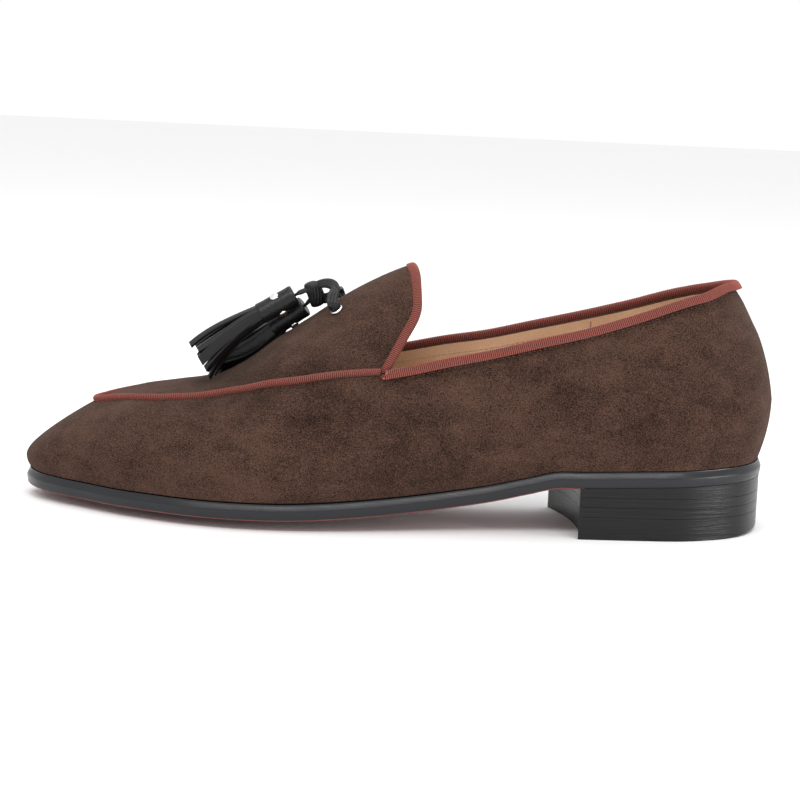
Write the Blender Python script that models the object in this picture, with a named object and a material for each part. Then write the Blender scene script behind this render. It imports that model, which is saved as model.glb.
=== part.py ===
"""Tassel loafer, left shoe, standing empty on its sole.

Metres, +Z up. The toe points to -X and the outer side of the foot to -Y. The origin is on the
floor, in the middle of the flat bottom of the heel.

The last is described by ribs. Each rib starts at the edge of the sole and rises towards an
axis: the centre line in the middle of the shoe, a toe pivot in front and a heel pivot behind.
Lengths in the tables are shares of the driving sizes.
"""

import math

import bmesh
import bpy
import numpy as np
from mathutils import Vector

# Driving sizes
SHOE_LENGTH = 0.3015       # outsole, back of the seat to the toe
BALL_WIDTH = 0.100         # outsole, across the ball
HEEL_BACK = 0.037          # back of the outsole, behind the origin
TOP_HEIGHT = 0.1012        # top of the collar at the back, above the floor
TONGUE_HEIGHT = 0.1030     # top of the tongue above the floor
SEAT_HEIGHT = 0.0227       # bottom of the outsole at the back of the seat
SOLE_THICKNESS = 0.0066    # outsole at its edge
SOLE_MARGIN = 0.0015       # outsole beyond the foot of the upper
SOLE_EDGE_TUCK = 0.0010    # how far the edge's lips lie inside its middle
WALL = 0.0020              # upper: suede, backing and lining
INSOLE_THICKNESS = 0.0030
INSOLE_PLAY = 0.0008       # between the insole and the wall around it
GAP = 0.0003               # between pieces that touch
HEEL_LENGTH = 0.0765       # back of the heel to its outer breast corner
BREAST_TURN = 0.0085       # inner breast corner ahead of the outer one
BREAST_HOLLOW = 0.0045     # depth of the hollow in the breast
HEEL_INSET = 0.0002        # heel inside the edge of the outsole
HEEL_BEVEL_RISE = 0.0022   # lift of the heel's back edge off the floor
HEEL_BEVEL_LENGTH = 0.020
TOP_LIFT = 0.0090          # the lift that stands on the floor
LIFT = 0.0040              # each full lift above it
LIFTS = 2                  # full lifts; a wedge lift closes the rest
BINDING_HEIGHT = 0.0032    # grosgrain over the edge of the collar and the tongue
BINDING_PROUD = 0.0007     # binding outside the wall, on each face
COLLAR_STOP = 0.0064       # collar binding short of the throat's corner
TONGUE_STOP = 0.0024       # tongue binding short of it
PIPING_WIDTH = 0.0030      # grosgrain piping over the apron seam
PIPING_HEIGHT = 0.0020     # its crest above the suede
PIPING_STOP = 0.0012       # piping short of the throat's corner
EYELET_BORE = 0.0018       # radius inside an eyelet
EYELET_BARREL = 0.0021     # radius of its barrel through the wall
EYELET_FLANGE = 0.0030     # radius of its flange on the suede
LACE_THICKNESS = 0.0030
CAP_LENGTH = 0.0160        # tassel's leather cap
CAP_RADIUS = 0.0046
CAP_WALL = 0.0009
FRINGE_LENGTH = 0.0310     # strips below the cap
STRIP_WIDTH = 0.0030
STRIP_THICKNESS = 0.0010
STRIP_HELD_SHARE = 0.12          # share of a strip that its cap holds straight
STRIPS = 9
RIVETS = 3                 # round each cap
RIVET_TURN = 0.96          # radians up from the outer side to the first rivet
RIVET_RADIUS = 0.0017
RIVET_HEIGHT = 0.0009

# Where the ribs change from fan to parallel, as shares of the length
HEEL_PIVOT_SHARE = 0.107
HEEL_LEAN = 0.13
TOE_PIVOT_SHARE = 0.840
THROAT_SHARE = 0.521             # corner where collar, tongue and apron meet

# How finely the forms are cut
HEEL_FAN = 6
QUARTER_RIBS = 12
VAMP_RIBS = 10
TOE_FAN = 8
FOOT_ROWS = 3
WALL_ROWS = 6
PLUG_ROWS = 6
SOLE_SHARES = (0.86, 0.62, 0.34)

# Edge of the outsole from above: along the shoe, outer side, inner side
OUTLINE = (
    # along, outer, inner
    (0.000, 0.053, 0.053),
    (0.010, -0.088, 0.186),
    (0.037, -0.208, 0.283),
    (0.107, -0.325, 0.337),
    (0.181, -0.360, 0.305),
    (0.255, -0.380, 0.262),
    (0.322, -0.388, 0.215),
    (0.389, -0.397, 0.195),
    (0.456, -0.424, 0.222),
    (0.523, -0.460, 0.290),
    (0.591, -0.494, 0.378),
    (0.658, -0.510, 0.452),
    (0.711, -0.500, 0.483),
    (0.765, -0.465, 0.488),
    (0.815, -0.405, 0.455),
    (0.862, -0.335, 0.405),
    (0.909, -0.240, 0.340),
    (0.953, -0.150, 0.280),
    (0.983, -0.060, 0.208),
    (1.000, 0.075, 0.075),
)

# Bottom of the outsole: height of its outer edge, inner edge and middle, of SEAT_HEIGHT
BOTTOM = (
    # along, outer, inner, middle
    (0.000, 1.000, 1.000, 1.000),
    (0.100, 0.955, 0.955, 0.955),
    (0.200, 0.910, 0.910, 0.910),
    (0.255, 0.885, 0.885, 0.885),
    (0.285, 0.872, 0.872, 0.872),
    (0.320, 0.760, 0.800, 0.760),
    (0.370, 0.600, 0.690, 0.560),
    (0.430, 0.465, 0.560, 0.370),
    (0.490, 0.360, 0.430, 0.190),
    (0.560, 0.270, 0.300, 0.040),
    (0.620, 0.215, 0.225, -0.020),
    (0.700, 0.190, 0.190, -0.015),
    (0.800, 0.185, 0.185, 0.040),
    (0.900, 0.180, 0.180, 0.120),
    (1.000, 0.200, 0.200, 0.200),
)

# Top line of the last: height of TONGUE_HEIGHT, place across, squareness of the section
CROWN = (
    # along, height, across, squareness
    (0.000, 1.070, 0.053, 2.00),
    (0.107, 1.105, 0.006, 2.00),
    (0.222, 1.090, -0.034, 2.00),
    (0.322, 1.068, -0.055, 2.00),
    (0.420, 1.030, -0.050, 2.00),
    (0.490, 0.990, -0.020, 2.00),
    (0.513, 0.961, -0.010, 2.00),
    (0.560, 0.886, 0.004, 2.00),
    (0.610, 0.786, 0.014, 2.00),
    (0.660, 0.680, 0.020, 2.05),
    (0.705, 0.578, 0.024, 2.10),
    (0.750, 0.510, 0.026, 2.20),
    (0.795, 0.483, 0.028, 2.30),
    (0.840, 0.461, 0.030, 2.35),
    (0.900, 0.414, 0.040, 2.20),
    (1.000, 0.300, 0.075, 2.00),
)

# Widest line of the upper: reach beyond its foot (of BALL_WIDTH) and height (of TOP_HEIGHT)
BELLY = (
    # along, outer reach, inner reach, outer height, inner height
    (0.000, 0.042, 0.042, 0.530, 0.530),
    (0.107, 0.028, 0.028, 0.490, 0.490),
    (0.222, 0.034, 0.034, 0.450, 0.450),
    (0.322, 0.052, 0.070, 0.400, 0.420),
    (0.420, 0.050, 0.090, 0.350, 0.390),
    (0.513, 0.036, 0.066, 0.300, 0.340),
    (0.610, 0.030, 0.036, 0.270, 0.290),
    (0.711, 0.030, 0.030, 0.250, 0.260),
    (0.840, 0.026, 0.026, 0.225, 0.225),
    (1.000, 0.018, 0.018, 0.158, 0.158),
)

# Collar: height of its edge, of TOP_HEIGHT
COLLAR = (
    # along, outer, inner
    (0.000, 0.998, 0.998),
    (0.050, 1.000, 0.974),
    (0.107, 0.966, 0.944),
    (0.185, 0.890, 0.878),
    (0.250, 0.830, 0.827),
    (0.322, 0.776, 0.775),
    (0.375, 0.734, 0.735),
    (0.440, 0.690, 0.696),
    (0.480, 0.660, 0.666),
    (0.521, 0.634, 0.636),
)

# Apron seam: its place on the rib, as a share of the way out from the top line
APRON = (
    # along, outer, inner
    (0.521, 0.868, 0.868),
    (0.560, 0.841, 0.841),
    (0.600, 0.806, 0.812),
    (0.640, 0.765, 0.785),
    (0.686, 0.684, 0.745),
    (0.720, 0.606, 0.705),
    (0.750, 0.562, 0.680),
    (0.780, 0.552, 0.665),
    (0.815, 0.545, 0.655),
    (0.840, 0.515, 0.640),
    (0.870, 0.475, 0.600),
    (0.930, 0.430, 0.500),
    (1.000, 0.405, 0.405),
)

# Tongue's edge: how far it leans back over the throat corner, of TONGUE_HEIGHT
TONGUE_EDGE = (
    # share of the way up from the corner, lean
    (0.00, 0.000),
    (0.17, 0.061),
    (0.33, 0.110),
    (0.50, 0.112),
    (0.67, 0.103),
    (0.83, 0.092),
    (1.00, 0.083),
)
TONGUE_START_SHARE = 0.66        # along: ribs ahead of this do not lean

# Where the eyelets sit: along the shoe, and the share of the way up the plug
EYELETS = {-1: (0.591, 0.66), 1: (0.588, 0.66)}

# The lace's way, point by point in metres: chosen by hand, out of an eyelet, to the knot
LACE_ROOTS = {
    -1: ((-0.1389, -0.0157, 0.0843), (-0.1402, -0.0164, 0.0863), (-0.1407, -0.0150, 0.0888),
         (-0.1400, -0.0116, 0.0911), (-0.1406, -0.0078, 0.0928), (-0.1432, -0.0042, 0.0934),
         (-0.1466, -0.0018, 0.0926)),
    1: ((-0.1377, 0.0133, 0.0851), (-0.1389, 0.0143, 0.0872), (-0.1395, 0.0132, 0.0892),
        (-0.1399, 0.0098, 0.0896), (-0.1410, 0.0062, 0.0889), (-0.1426, 0.0032, 0.0878),
        (-0.1443, 0.0010, 0.0869)),
}
# and out of the knot to the cap of a tassel
LACE_ENDS = {
    -1: ((-0.1524, -0.0036, 0.0899), (-0.1541, -0.0043, 0.0892), (-0.15576, -0.00496, 0.0883)),
    1: ((-0.1502, 0.0028, 0.0862), (-0.1509, 0.0030, 0.08565), (-0.1517, 0.0030, 0.08495)),
}
KNOT_CENTRE = (-0.1487, -0.0010, 0.0884)
KNOT_RADIUS = 0.0030
KNOT_LENGTH = 0.0105
KNOT_AXIS = (-0.37, -0.20, 0.906)
# A tassel: the top of its cap, the way in which the cap points, the middle of the fringe's tips
# and how far the fringe fans out there
TASSELS = {
    -1: ((-0.1561, -0.0050, 0.0881), (-0.850, -0.100, -0.509), (-0.1925, -0.0095, 0.0607), 0.0038),
    1: ((-0.1520, 0.0030, 0.0847), (-0.801, 0.060, -0.596), (-0.1885, 0.0055, 0.0592), 0.0016),
}

OUTER = -1
INNER = 1
SIDE_NAMES = {OUTER: "outer", INNER: "inner"}


def smooth_curve(rows, column, at):
    """Cubic through one column of a table, with the tangents of its neighbours."""
    xs = np.array([row[0] for row in rows])
    ys = np.array([row[column] for row in rows])
    slopes = np.gradient(ys, xs)
    at = min(max(at, xs[0]), xs[-1])
    i = min(int(np.searchsorted(xs, at, side="right")) - 1, len(xs) - 2)
    width = xs[i + 1] - xs[i]
    t = (at - xs[i]) / width
    return float(
        (2 * t**3 - 3 * t**2 + 1) * ys[i]
        + (t**3 - 2 * t**2 + t) * width * slopes[i]
        + (3 * t**2 - 2 * t**3) * ys[i + 1]
        + (t**3 - t**2) * width * slopes[i + 1]
    )


def side_value(rows, along, side, first=1):
    """A table's value on one side, where its outer and inner columns stand side by side."""
    return smooth_curve(rows, first if side == OUTER else first + 1, along)


def x_at(along):
    return HEEL_BACK - along * SHOE_LENGTH


def along_at(x):
    return (HEEL_BACK - x) / SHOE_LENGTH


def closed_outline(steps=24):
    """The outsole's edge as a dense closed line, and the same line cut into its two sides."""
    outer = [(row[0] * SHOE_LENGTH, row[1] * BALL_WIDTH) for row in OUTLINE]
    inner = [(row[0] * SHOE_LENGTH, row[2] * BALL_WIDTH) for row in OUTLINE]
    ring = np.array(outer + inner[-2:0:-1])
    count = len(ring)
    chords = np.linalg.norm(np.roll(ring, -1, axis=0) - ring, axis=1) ** 0.5
    dense = []
    for i in range(count):
        p0, p1, p2, p3 = (ring[(i + k - 1) % count] for k in range(4))
        d0, d1, d2 = (chords[(i + k - 1) % count] for k in range(3))
        m1 = (p1 - p0) / d0 - (p2 - p0) / (d0 + d1) + (p2 - p1) / d1
        m2 = (p2 - p1) / d1 - (p3 - p1) / (d1 + d2) + (p3 - p2) / d2
        for step in range(steps):
            t = step / steps
            dense.append(
                (2 * t**3 - 3 * t**2 + 1) * p1
                + (t**3 - 2 * t**2 + t) * d1 * m1
                + (3 * t**2 - 2 * t**3) * p2
                + (t**3 - t**2) * d1 * m2
            )
    dense = np.array(dense)
    dense[:, 0] = HEEL_BACK - dense[:, 0]
    toe = (len(OUTLINE) - 1) * steps
    return {OUTER: dense[: toe + 1], INNER: np.vstack([dense[toe:], dense[:1]])[::-1]}


EDGE = closed_outline()


def edge_across(x, side):
    """Place across of the outsole's edge, where the ribs are parallel."""
    line = EDGE[side]
    return float(np.interp(-x, -line[:, 0], line[:, 1]))


def axis_across(x):
    return smooth_curve(CROWN, 2, along_at(x)) * BALL_WIDTH


class Rib:
    """One rib of the last: a vertical half section from the edge of the sole to the axis."""

    def __init__(self, side, edge, axis):
        self.side = side
        self.axis = np.array(axis)
        out = np.array(edge) - self.axis
        self.sole_reach = float(np.linalg.norm(out))
        self.out = out / self.sole_reach
        self.along = along_at(edge[0])
        self.foot_reach = self.sole_reach - SOLE_MARGIN
        self.belly_reach = self.foot_reach + side_value(BELLY, self.along, side) * BALL_WIDTH
        self.belly_height = side_value(BELLY, self.along, side, 3) * TOP_HEIGHT
        self.sole_bottom = side_value(BOTTOM, self.along, side) * SEAT_HEIGHT
        self.sole_top = self.sole_bottom + SOLE_THICKNESS

    def place(self, reach, height):
        spot = self.axis + self.out * reach
        return Vector((float(spot[0]), float(spot[1]), float(height)))

    def crown_at(self, reach):
        x = float(self.axis[0] + self.out[0] * reach)
        along = along_at(x)
        return smooth_curve(CROWN, 1, along) * TONGUE_HEIGHT, smooth_curve(CROWN, 3, along)

    def foot_point(self, share):
        """A point between the foot, share 0, and the belly, share 1."""
        low = self.sole_top + GAP
        reach = self.belly_reach - (self.belly_reach - self.foot_reach) * (1 - share) ** 2
        return self.place(reach, low + (self.belly_height - low) * share)

    def wall_point(self, angle):
        """A point above the belly; the angle runs from 0 at the belly to a right angle on top."""
        square = self.crown_at(self.belly_reach * math.cos(angle))[1]
        reach = self.belly_reach * math.cos(angle) ** (2 / square)
        crown = self.crown_at(reach)[0]
        rise = (crown - self.belly_height) * math.sin(angle) ** (2 / square)
        lean = HEEL_LEAN * max(float(self.out[0]), 0.0) * rise
        return self.place(reach - lean, self.belly_height + rise)

    def angle_at_share(self, share):
        square = self.crown_at(self.belly_reach * share)[1]
        return math.acos(share ** (square / 2))

    def angle_at_height(self, height):
        low, high = 0.0, math.pi / 2
        for _ in range(40):
            middle = (low + high) / 2
            if self.wall_point(middle).z < height:
                low = middle
            else:
                high = middle
        return (low + high) / 2

    def rim_angle(self):
        """Where the rib's wall ends: the collar behind the throat, the apron seam ahead of it."""
        if self.along < THROAT_SHARE - 1e-6:
            height = side_value(COLLAR, self.along, self.side) * TOP_HEIGHT - BINDING_HEIGHT
            return self.angle_at_height(height)
        return self.angle_at_share(side_value(APRON, self.along, self.side))


def parallel_rib(side, x):
    return Rib(side, (x, edge_across(x, side)), (x, axis_across(x)))


def fan_ribs(side, pivot_along, count, tip_first):
    """Ribs from a tip of the shoe round to the pivot's own section, evenly spaced at the edge."""
    pivot_x = x_at(pivot_along)
    pivot = (pivot_x, axis_across(pivot_x))
    line = EDGE[side]
    part = line[line[:, 0] >= pivot_x] if tip_first else line[line[:, 0] <= pivot_x]
    last = np.array([[pivot_x, edge_across(pivot_x, side)]])
    part = np.vstack([part, last]) if tip_first else np.vstack([last, part])
    steps = np.linalg.norm(np.diff(part, axis=0), axis=1)
    way = np.concatenate([[0.0], np.cumsum(steps)])
    ribs = []
    for i in range(count + 1):
        at = way[-1] * i / count
        spot = (float(np.interp(at, way, part[:, 0])), float(np.interp(at, way, part[:, 1])))
        ribs.append(Rib(side, spot, pivot))
    return ribs


def side_ribs(side):
    """All ribs of one side, from the back of the heel to the toe, and the throat's place."""
    ribs = fan_ribs(side, HEEL_PIVOT_SHARE, HEEL_FAN, True)
    for i in range(1, QUARTER_RIBS + 1):
        along = HEEL_PIVOT_SHARE + (THROAT_SHARE - HEEL_PIVOT_SHARE) * i / QUARTER_RIBS
        ribs.append(parallel_rib(side, x_at(along)))
    for i in range(1, VAMP_RIBS):
        along = THROAT_SHARE + (TOE_PIVOT_SHARE - THROAT_SHARE) * i / VAMP_RIBS
        ribs.append(parallel_rib(side, x_at(along)))
    return ribs + fan_ribs(side, TOE_PIVOT_SHARE, TOE_FAN, False)


THROAT_RIB = HEEL_FAN + QUARTER_RIBS
RIBS = {OUTER: side_ribs(OUTER), INNER: side_ribs(INNER)}
RIB_COUNT = len(RIBS[OUTER])


def ring_ribs():
    """Every rib once, round the shoe: outer side to the toe, inner side back to the heel."""
    return RIBS[OUTER] + RIBS[INNER][-2:0:-1]


def make_material(name, colour, roughness, metallic=0.0):
    material = bpy.data.materials.new(name)
    material.use_nodes = True
    shader = material.node_tree.nodes["Principled BSDF"]
    shader.inputs["Base Color"].default_value = (*colour, 1.0)
    shader.inputs["Roughness"].default_value = roughness
    shader.inputs["Metallic"].default_value = metallic
    return material


def add_object(name, mesh, material, smooth_angle=math.radians(40)):
    thing = bpy.data.objects.new(name, mesh)
    bpy.context.collection.objects.link(thing)
    mesh.materials.append(material)
    mesh.shade_smooth()
    mesh.set_sharp_from_angle(angle=smooth_angle)
    return thing


def mesh_from(name, points, faces):
    mesh = bpy.data.meshes.new(name)
    mesh.from_pydata([tuple(point) for point in points], [], faces)
    mesh.update()
    return mesh


def close_mesh(name, points, faces):
    """A closed body whose faces are turned outwards."""
    mesh = mesh_from(name, points, faces)
    shape = bmesh.new()
    shape.from_mesh(mesh)
    bmesh.ops.recalc_face_normals(shape, faces=shape.faces)
    shape.to_mesh(mesh)
    shape.free()
    return mesh


def plug_point(side, rib, share):
    """A point of the plug, from the apron seam, share 0, to the top line, share 1."""
    start = rib.rim_angle()
    angle = start + (math.pi / 2 - start) * share
    if rib.along >= TONGUE_START_SHARE:
        return rib.wall_point(angle)
    weight = ((TONGUE_START_SHARE - rib.along) / (TONGUE_START_SHARE - THROAT_SHARE)) ** 2
    lean = smooth_curve(TONGUE_EDGE, 1, share) * TONGUE_HEIGHT * weight
    return parallel_rib(side, float(rib.axis[0]) + lean).wall_point(angle)


def upper_sheet():
    """The upper's outer face: walls all round, and the plug with the tongue on top."""
    points = []
    faces = []
    ring = ring_ribs()
    rows = FOOT_ROWS + WALL_ROWS
    for rib in ring:
        rim = rib.rim_angle()
        points += [rib.foot_point(i / FOOT_ROWS) for i in range(FOOT_ROWS)]
        points += [rib.wall_point(rim * i / WALL_ROWS) for i in range(WALL_ROWS + 1)]
    stride = rows + 1
    for i in range(len(ring)):
        j = (i + 1) % len(ring)
        for k in range(rows):
            faces.append((i * stride + k, j * stride + k, j * stride + k + 1, i * stride + k + 1))
    rim_of = {OUTER: {}, INNER: {}}
    for i in range(RIB_COUNT):
        rim_of[OUTER][i] = i * stride + rows
        rim_of[INNER][i] = ((len(ring) - i) % len(ring)) * stride + rows
    toe = RIB_COUNT - 1
    pivot = RIB_COUNT - 1 - TOE_FAN
    ridge = {}
    for i in range(THROAT_RIB, pivot + 1):
        ridge[i] = len(points)
        points.append(plug_point(OUTER, RIBS[OUTER][i], 1.0))
    for i in range(pivot + 1, toe + 1):
        ridge[i] = ridge[pivot]
    for side in (OUTER, INNER):
        columns = {}
        for i in range(THROAT_RIB, toe + 1):
            if side == INNER and i == toe:
                columns[i] = toe_column
                continue
            columns[i] = [rim_of[side][i]]
            for k in range(1, PLUG_ROWS):
                columns[i].append(len(points))
                points.append(plug_point(side, RIBS[side][i], k / PLUG_ROWS))
            columns[i].append(ridge[i])
        toe_column = columns[toe]
        for i in range(THROAT_RIB, toe):
            for k in range(PLUG_ROWS):
                face = [columns[i][k], columns[i + 1][k], columns[i + 1][k + 1], columns[i][k + 1]]
                face = list(dict.fromkeys(face))
                faces.append(tuple(face if side == OUTER else face[::-1]))
    return points, faces


def build_upper(material):
    points, faces = upper_sheet()
    mesh = mesh_from("upper", points, faces)
    shape = bmesh.new()
    shape.from_mesh(mesh)
    bmesh.ops.recalc_face_normals(shape, faces=shape.faces)
    centre = Vector((0.0, 0.0, TOP_HEIGHT / 2))
    outward = sum(
        face.calc_area() * face.normal.dot(face.calc_center_median() - centre)
        for face in shape.faces
    )
    if outward < 0:
        bmesh.ops.reverse_faces(shape, faces=shape.faces)
    shape.to_mesh(mesh)
    shape.free()
    upper = add_object("upper", mesh, material)
    wall = upper.modifiers.new("wall", "SOLIDIFY")
    wall.thickness = WALL
    wall.offset = -1.0
    wall.use_even_offset = True
    wall.use_quality_normals = True
    return upper


def sole_height(rib, share, x):
    """Bottom of the outsole at a share of the way out from the axis."""
    along = along_at(x)
    middle = smooth_curve(BOTTOM, 3, along) * SEAT_HEIGHT
    edge = side_value(BOTTOM, along, rib.side) * SEAT_HEIGHT
    return middle + (edge - middle) * share ** 2.4


def layer_points(reach_of, lift, shares, clamp):
    """Rings of points across the shoe, from an outline in to the axis."""
    ring = ring_ribs()
    points = []
    rows = []
    for share in shares:
        row = []
        for rib in ring:
            reach = reach_of(rib) * share
            spot = rib.place(reach, 0.0)
            height = sole_height(rib, reach / rib.sole_reach, spot.x)
            if clamp:
                height = max(height, 0.0)
            row.append(len(points))
            points.append(Vector((spot.x, spot.y, height + lift)))
        rows.append(row)
    heel_pivot = HEEL_FAN
    toe_pivot = RIB_COUNT - 1 - TOE_FAN
    axis = {}
    for i in range(heel_pivot, toe_pivot + 1):
        rib = RIBS[OUTER][i]
        spot = rib.place(0.0, 0.0)
        height = sole_height(rib, 0.0, spot.x)
        if clamp:
            height = max(height, 0.0)
        axis[i] = len(points)
        points.append(Vector((spot.x, spot.y, height + lift)))
    last = []
    for i in range(len(ring)):
        station = i if i < RIB_COUNT else len(ring) - i
        last.append(axis[min(max(station, heel_pivot), toe_pivot)])
    rows.append(last)
    return points, rows


def band_faces(row_a, row_b):
    faces = []
    count = len(row_a)
    for i in range(count):
        j = (i + 1) % count
        face = tuple(dict.fromkeys((row_a[i], row_a[j], row_b[j], row_b[i])))
        if len(face) > 2:
            faces.append(face)
    return faces


def slab(name, reach_of, bottom_lift, top_lift, edge_rows, clamp):
    """A sole-like body: bottom rings, edge rings given by (inset, height) rows, top rings."""
    shares = (1.0, *SOLE_SHARES)
    points, bottom = layer_points(reach_of, bottom_lift, shares, clamp)
    top_points, top = layer_points(reach_of, top_lift, shares, False)
    offset = len(points)
    points = points + top_points
    top = [[index + offset for index in row] for row in top]
    faces = []
    for a, b in zip(bottom, bottom[1:]):
        faces += band_faces(a, b)
    for a, b in zip(top, top[1:]):
        faces += band_faces(a, b)
    previous = bottom[0]
    for bulge, height in edge_rows:
        row = []
        for i, rib in enumerate(ring_ribs()):
            low = points[bottom[0][i]]
            high = points[top[0][i]]
            row.append(len(points))
            spot = rib.place(reach_of(rib) + bulge, low.z + (high.z - low.z) * height)
            points.append(spot)
        faces += band_faces(previous, row)
        previous = row
    faces += band_faces(previous, top[0])
    return close_mesh(name, points, faces)


def build_outsole(material):
    rows = ((SOLE_EDGE_TUCK * 0.85, 0.22), (SOLE_EDGE_TUCK, 0.55))
    mesh = slab(
        "outsole", lambda rib: rib.sole_reach - SOLE_EDGE_TUCK, 0.0, SOLE_THICKNESS, rows, True
    )
    return add_object("outsole", mesh, material)


def build_insole(material):
    def reach(rib):
        return rib.foot_reach - WALL - INSOLE_PLAY

    lift = SOLE_THICKNESS + GAP
    mesh = slab("insole", reach, lift, lift + INSOLE_THICKNESS, (), False)
    return add_object("insole", mesh, material)


def heel_outline():
    """The heel from above: round the back from the outer breast corner to the inner one."""
    outer_x = HEEL_BACK - HEEL_LENGTH
    inner_x = outer_x - BREAST_TURN
    points = []
    for side, corner_x in ((OUTER, outer_x), (INNER, inner_x)):
        line = EDGE[side]
        part = [spot for spot in line if spot[0] > corner_x]
        part.append(np.array([corner_x, edge_across(corner_x, side)]))
        steps = np.linalg.norm(np.diff(np.array(part), axis=0), axis=1)
        way = np.concatenate([[0.0], np.cumsum(steps)])
        count = 13
        run = []
        for i in range(count + 1):
            at = way[-1] * i / count
            run.append(np.array([np.interp(at, way, [p[0] for p in part]),
                                 np.interp(at, way, [p[1] for p in part])]))
        points.append(run)
    ring = points[0][::-1] + points[1][1:]
    inset = []
    for i, spot in enumerate(ring):
        before = ring[max(i - 1, 0)]
        after = ring[min(i + 1, len(ring) - 1)]
        run = (after - before) / np.linalg.norm(after - before)
        inset.append(spot + np.array([-run[1], run[0]]) * HEEL_INSET)
    centre = np.mean(ring, axis=0)
    if np.linalg.norm(inset[len(ring) // 2] - centre) > np.linalg.norm(ring[len(ring) // 2] - centre):
        inset = [2 * spot - moved for spot, moved in zip(ring, inset)]
    start, end = inset[-1], inset[0]
    breast = []
    steps = 8
    for i in range(1, steps):
        share = i / steps
        spot = start + (end - start) * share
        hollow = BREAST_HOLLOW * 4 * share * (1 - share)
        breast.append(spot + np.array([hollow, 0.0]))
    return inset + breast


def seat_plane(x):
    """Bottom of the outsole over the heel, which is flat there."""
    return smooth_curve(BOTTOM, 3, along_at(x)) * SEAT_HEIGHT


def build_heel(material):
    ring = heel_outline()
    count = len(ring)
    levels = [TOP_LIFT + LIFT * i for i in range(LIFTS + 1)]
    pieces = []
    for i in range(LIFTS + 1):
        low = levels[i] + GAP / 2
        wedge = i == LIFTS
        points = [Vector((spot[0], spot[1], low)) for spot in ring]
        for spot in ring:
            top = seat_plane(spot[0]) - GAP if wedge else levels[i + 1] - GAP / 2
            points.append(Vector((spot[0], spot[1], top)))
        faces = band_faces(list(range(count)), list(range(count, 2 * count)))
        faces += [tuple(range(count)), tuple(range(count, 2 * count))]
        name = "heel_wedge_lift" if wedge else "heel_lift_" + str(i + 1)
        pieces.append(add_object(name, close_mesh(name, points, faces), material))
    return pieces


def build_top_lift(material):
    """The lift on the floor, with its back edge bevelled up."""
    ring = heel_outline()
    count = len(ring)
    bevel_x = HEEL_BACK - HEEL_BEVEL_LENGTH
    points = [Vector((spot[0], spot[1], TOP_LIFT - GAP / 2)) for spot in ring]
    side = []
    flat = []
    for spot in ring:
        past = max(spot[0] - bevel_x, 0.0) / HEEL_BEVEL_LENGTH
        side.append(len(points))
        points.append(Vector((spot[0], spot[1], HEEL_BEVEL_RISE * past ** 1.5)))
        if past > 0.0:
            flat.append(len(points))
            points.append(Vector((bevel_x, spot[1], 0.0)))
        else:
            flat.append(side[-1])
    faces = band_faces(list(range(count)), side) + band_faces(side, flat)
    faces += [tuple(range(count)), tuple(flat)]
    mesh = close_mesh("heel_top_lift", points, faces)
    return add_object("heel_top_lift", mesh, material)


def wall_rim(side):
    """Rim of the upper's wall behind the throat: each point with the one below it."""
    pairs = []
    for rib in RIBS[side][: THROAT_RIB + 1]:
        rim = rib.rim_angle()
        pairs.append((rib.wall_point(rim), rib.wall_point(rim * (WALL_ROWS - 1) / WALL_ROWS)))
    return pairs


def tongue_rim(side):
    """Edge of the tongue from the throat's corner to the top: each point with its neighbour."""
    edge = RIBS[side][THROAT_RIB]
    ahead = RIBS[side][THROAT_RIB + 1]
    pairs = []
    for k in range(PLUG_ROWS + 1):
        share = k / PLUG_ROWS
        pairs.append((plug_point(side, edge, share), plug_point(side, ahead, share)))
    return pairs


def sweep(name, rings):
    """A closed body through rings of points, with a flat face at each end."""
    points = [point for ring in rings for point in ring]
    size = len(rings[0])
    rows = [[i * size + k for k in range(size)] for i in range(len(rings))]
    faces = [tuple(rows[0]), tuple(rows[-1])]
    for a, b in zip(rows, rows[1:]):
        faces += band_faces(a, b)
    return close_mesh(name, points, faces)


def loop_sweep(name, rings):
    """A closed body through rings of points that come back to the first one."""
    points = [point for ring in rings for point in ring]
    size = len(rings[0])
    rows = [[i * size + k for k in range(size)] for i in range(len(rings))]
    faces = []
    for a, b in zip(rows, rows[1:] + rows[:1]):
        faces += band_faces(a, b)
    return close_mesh(name, points, faces)


def bead_section():
    """Section of a binding: out of the wall's outer face, and beyond the wall's edge."""
    inside = -WALL
    proud = BINDING_PROUD
    tall = BINDING_HEIGHT
    return (
        (proud * 0.85, GAP),
        (proud, tall * 0.55),
        (proud * 0.1, tall * 0.96),
        (inside - proud * 0.1, tall * 0.96),
        (inside - proud, tall * 0.55),
        (inside - proud * 0.85, GAP),
    )


def bead_rings(pairs, sign):
    """Rings of a binding over a rim; sign turns the wall's normal outwards."""
    count = len(pairs)
    rings = []
    for i, (point, inner) in enumerate(pairs):
        before = pairs[max(i - 1, 0)][0]
        after = pairs[min(i + 1, count - 1)][0]
        along = (after - before).normalized()
        off = point - inner
        off = (off - along * off.dot(along)).normalized()
        normal = along.cross(off) * sign
        rings.append([point + normal * n + off * u for n, u in bead_section()])
    return rings


def mix(a, b, share):
    return a + (b - a) * share


def build_collar_binding(material):
    outer = wall_rim(OUTER)
    inner = wall_rim(INNER)
    pairs = outer[::-1] + inner[1:]
    # The binding starts behind the tongue's own, so both of its ends are cut back
    for at, beside in ((0, 1), (-1, -2)):
        share = COLLAR_STOP / (pairs[at][0] - pairs[beside][0]).length
        pairs[at] = tuple(mix(pairs[at][k], pairs[beside][k], share) for k in (0, 1))
    return add_object("collar_binding", sweep("collar_binding", bead_rings(pairs, -1)), material)


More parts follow.
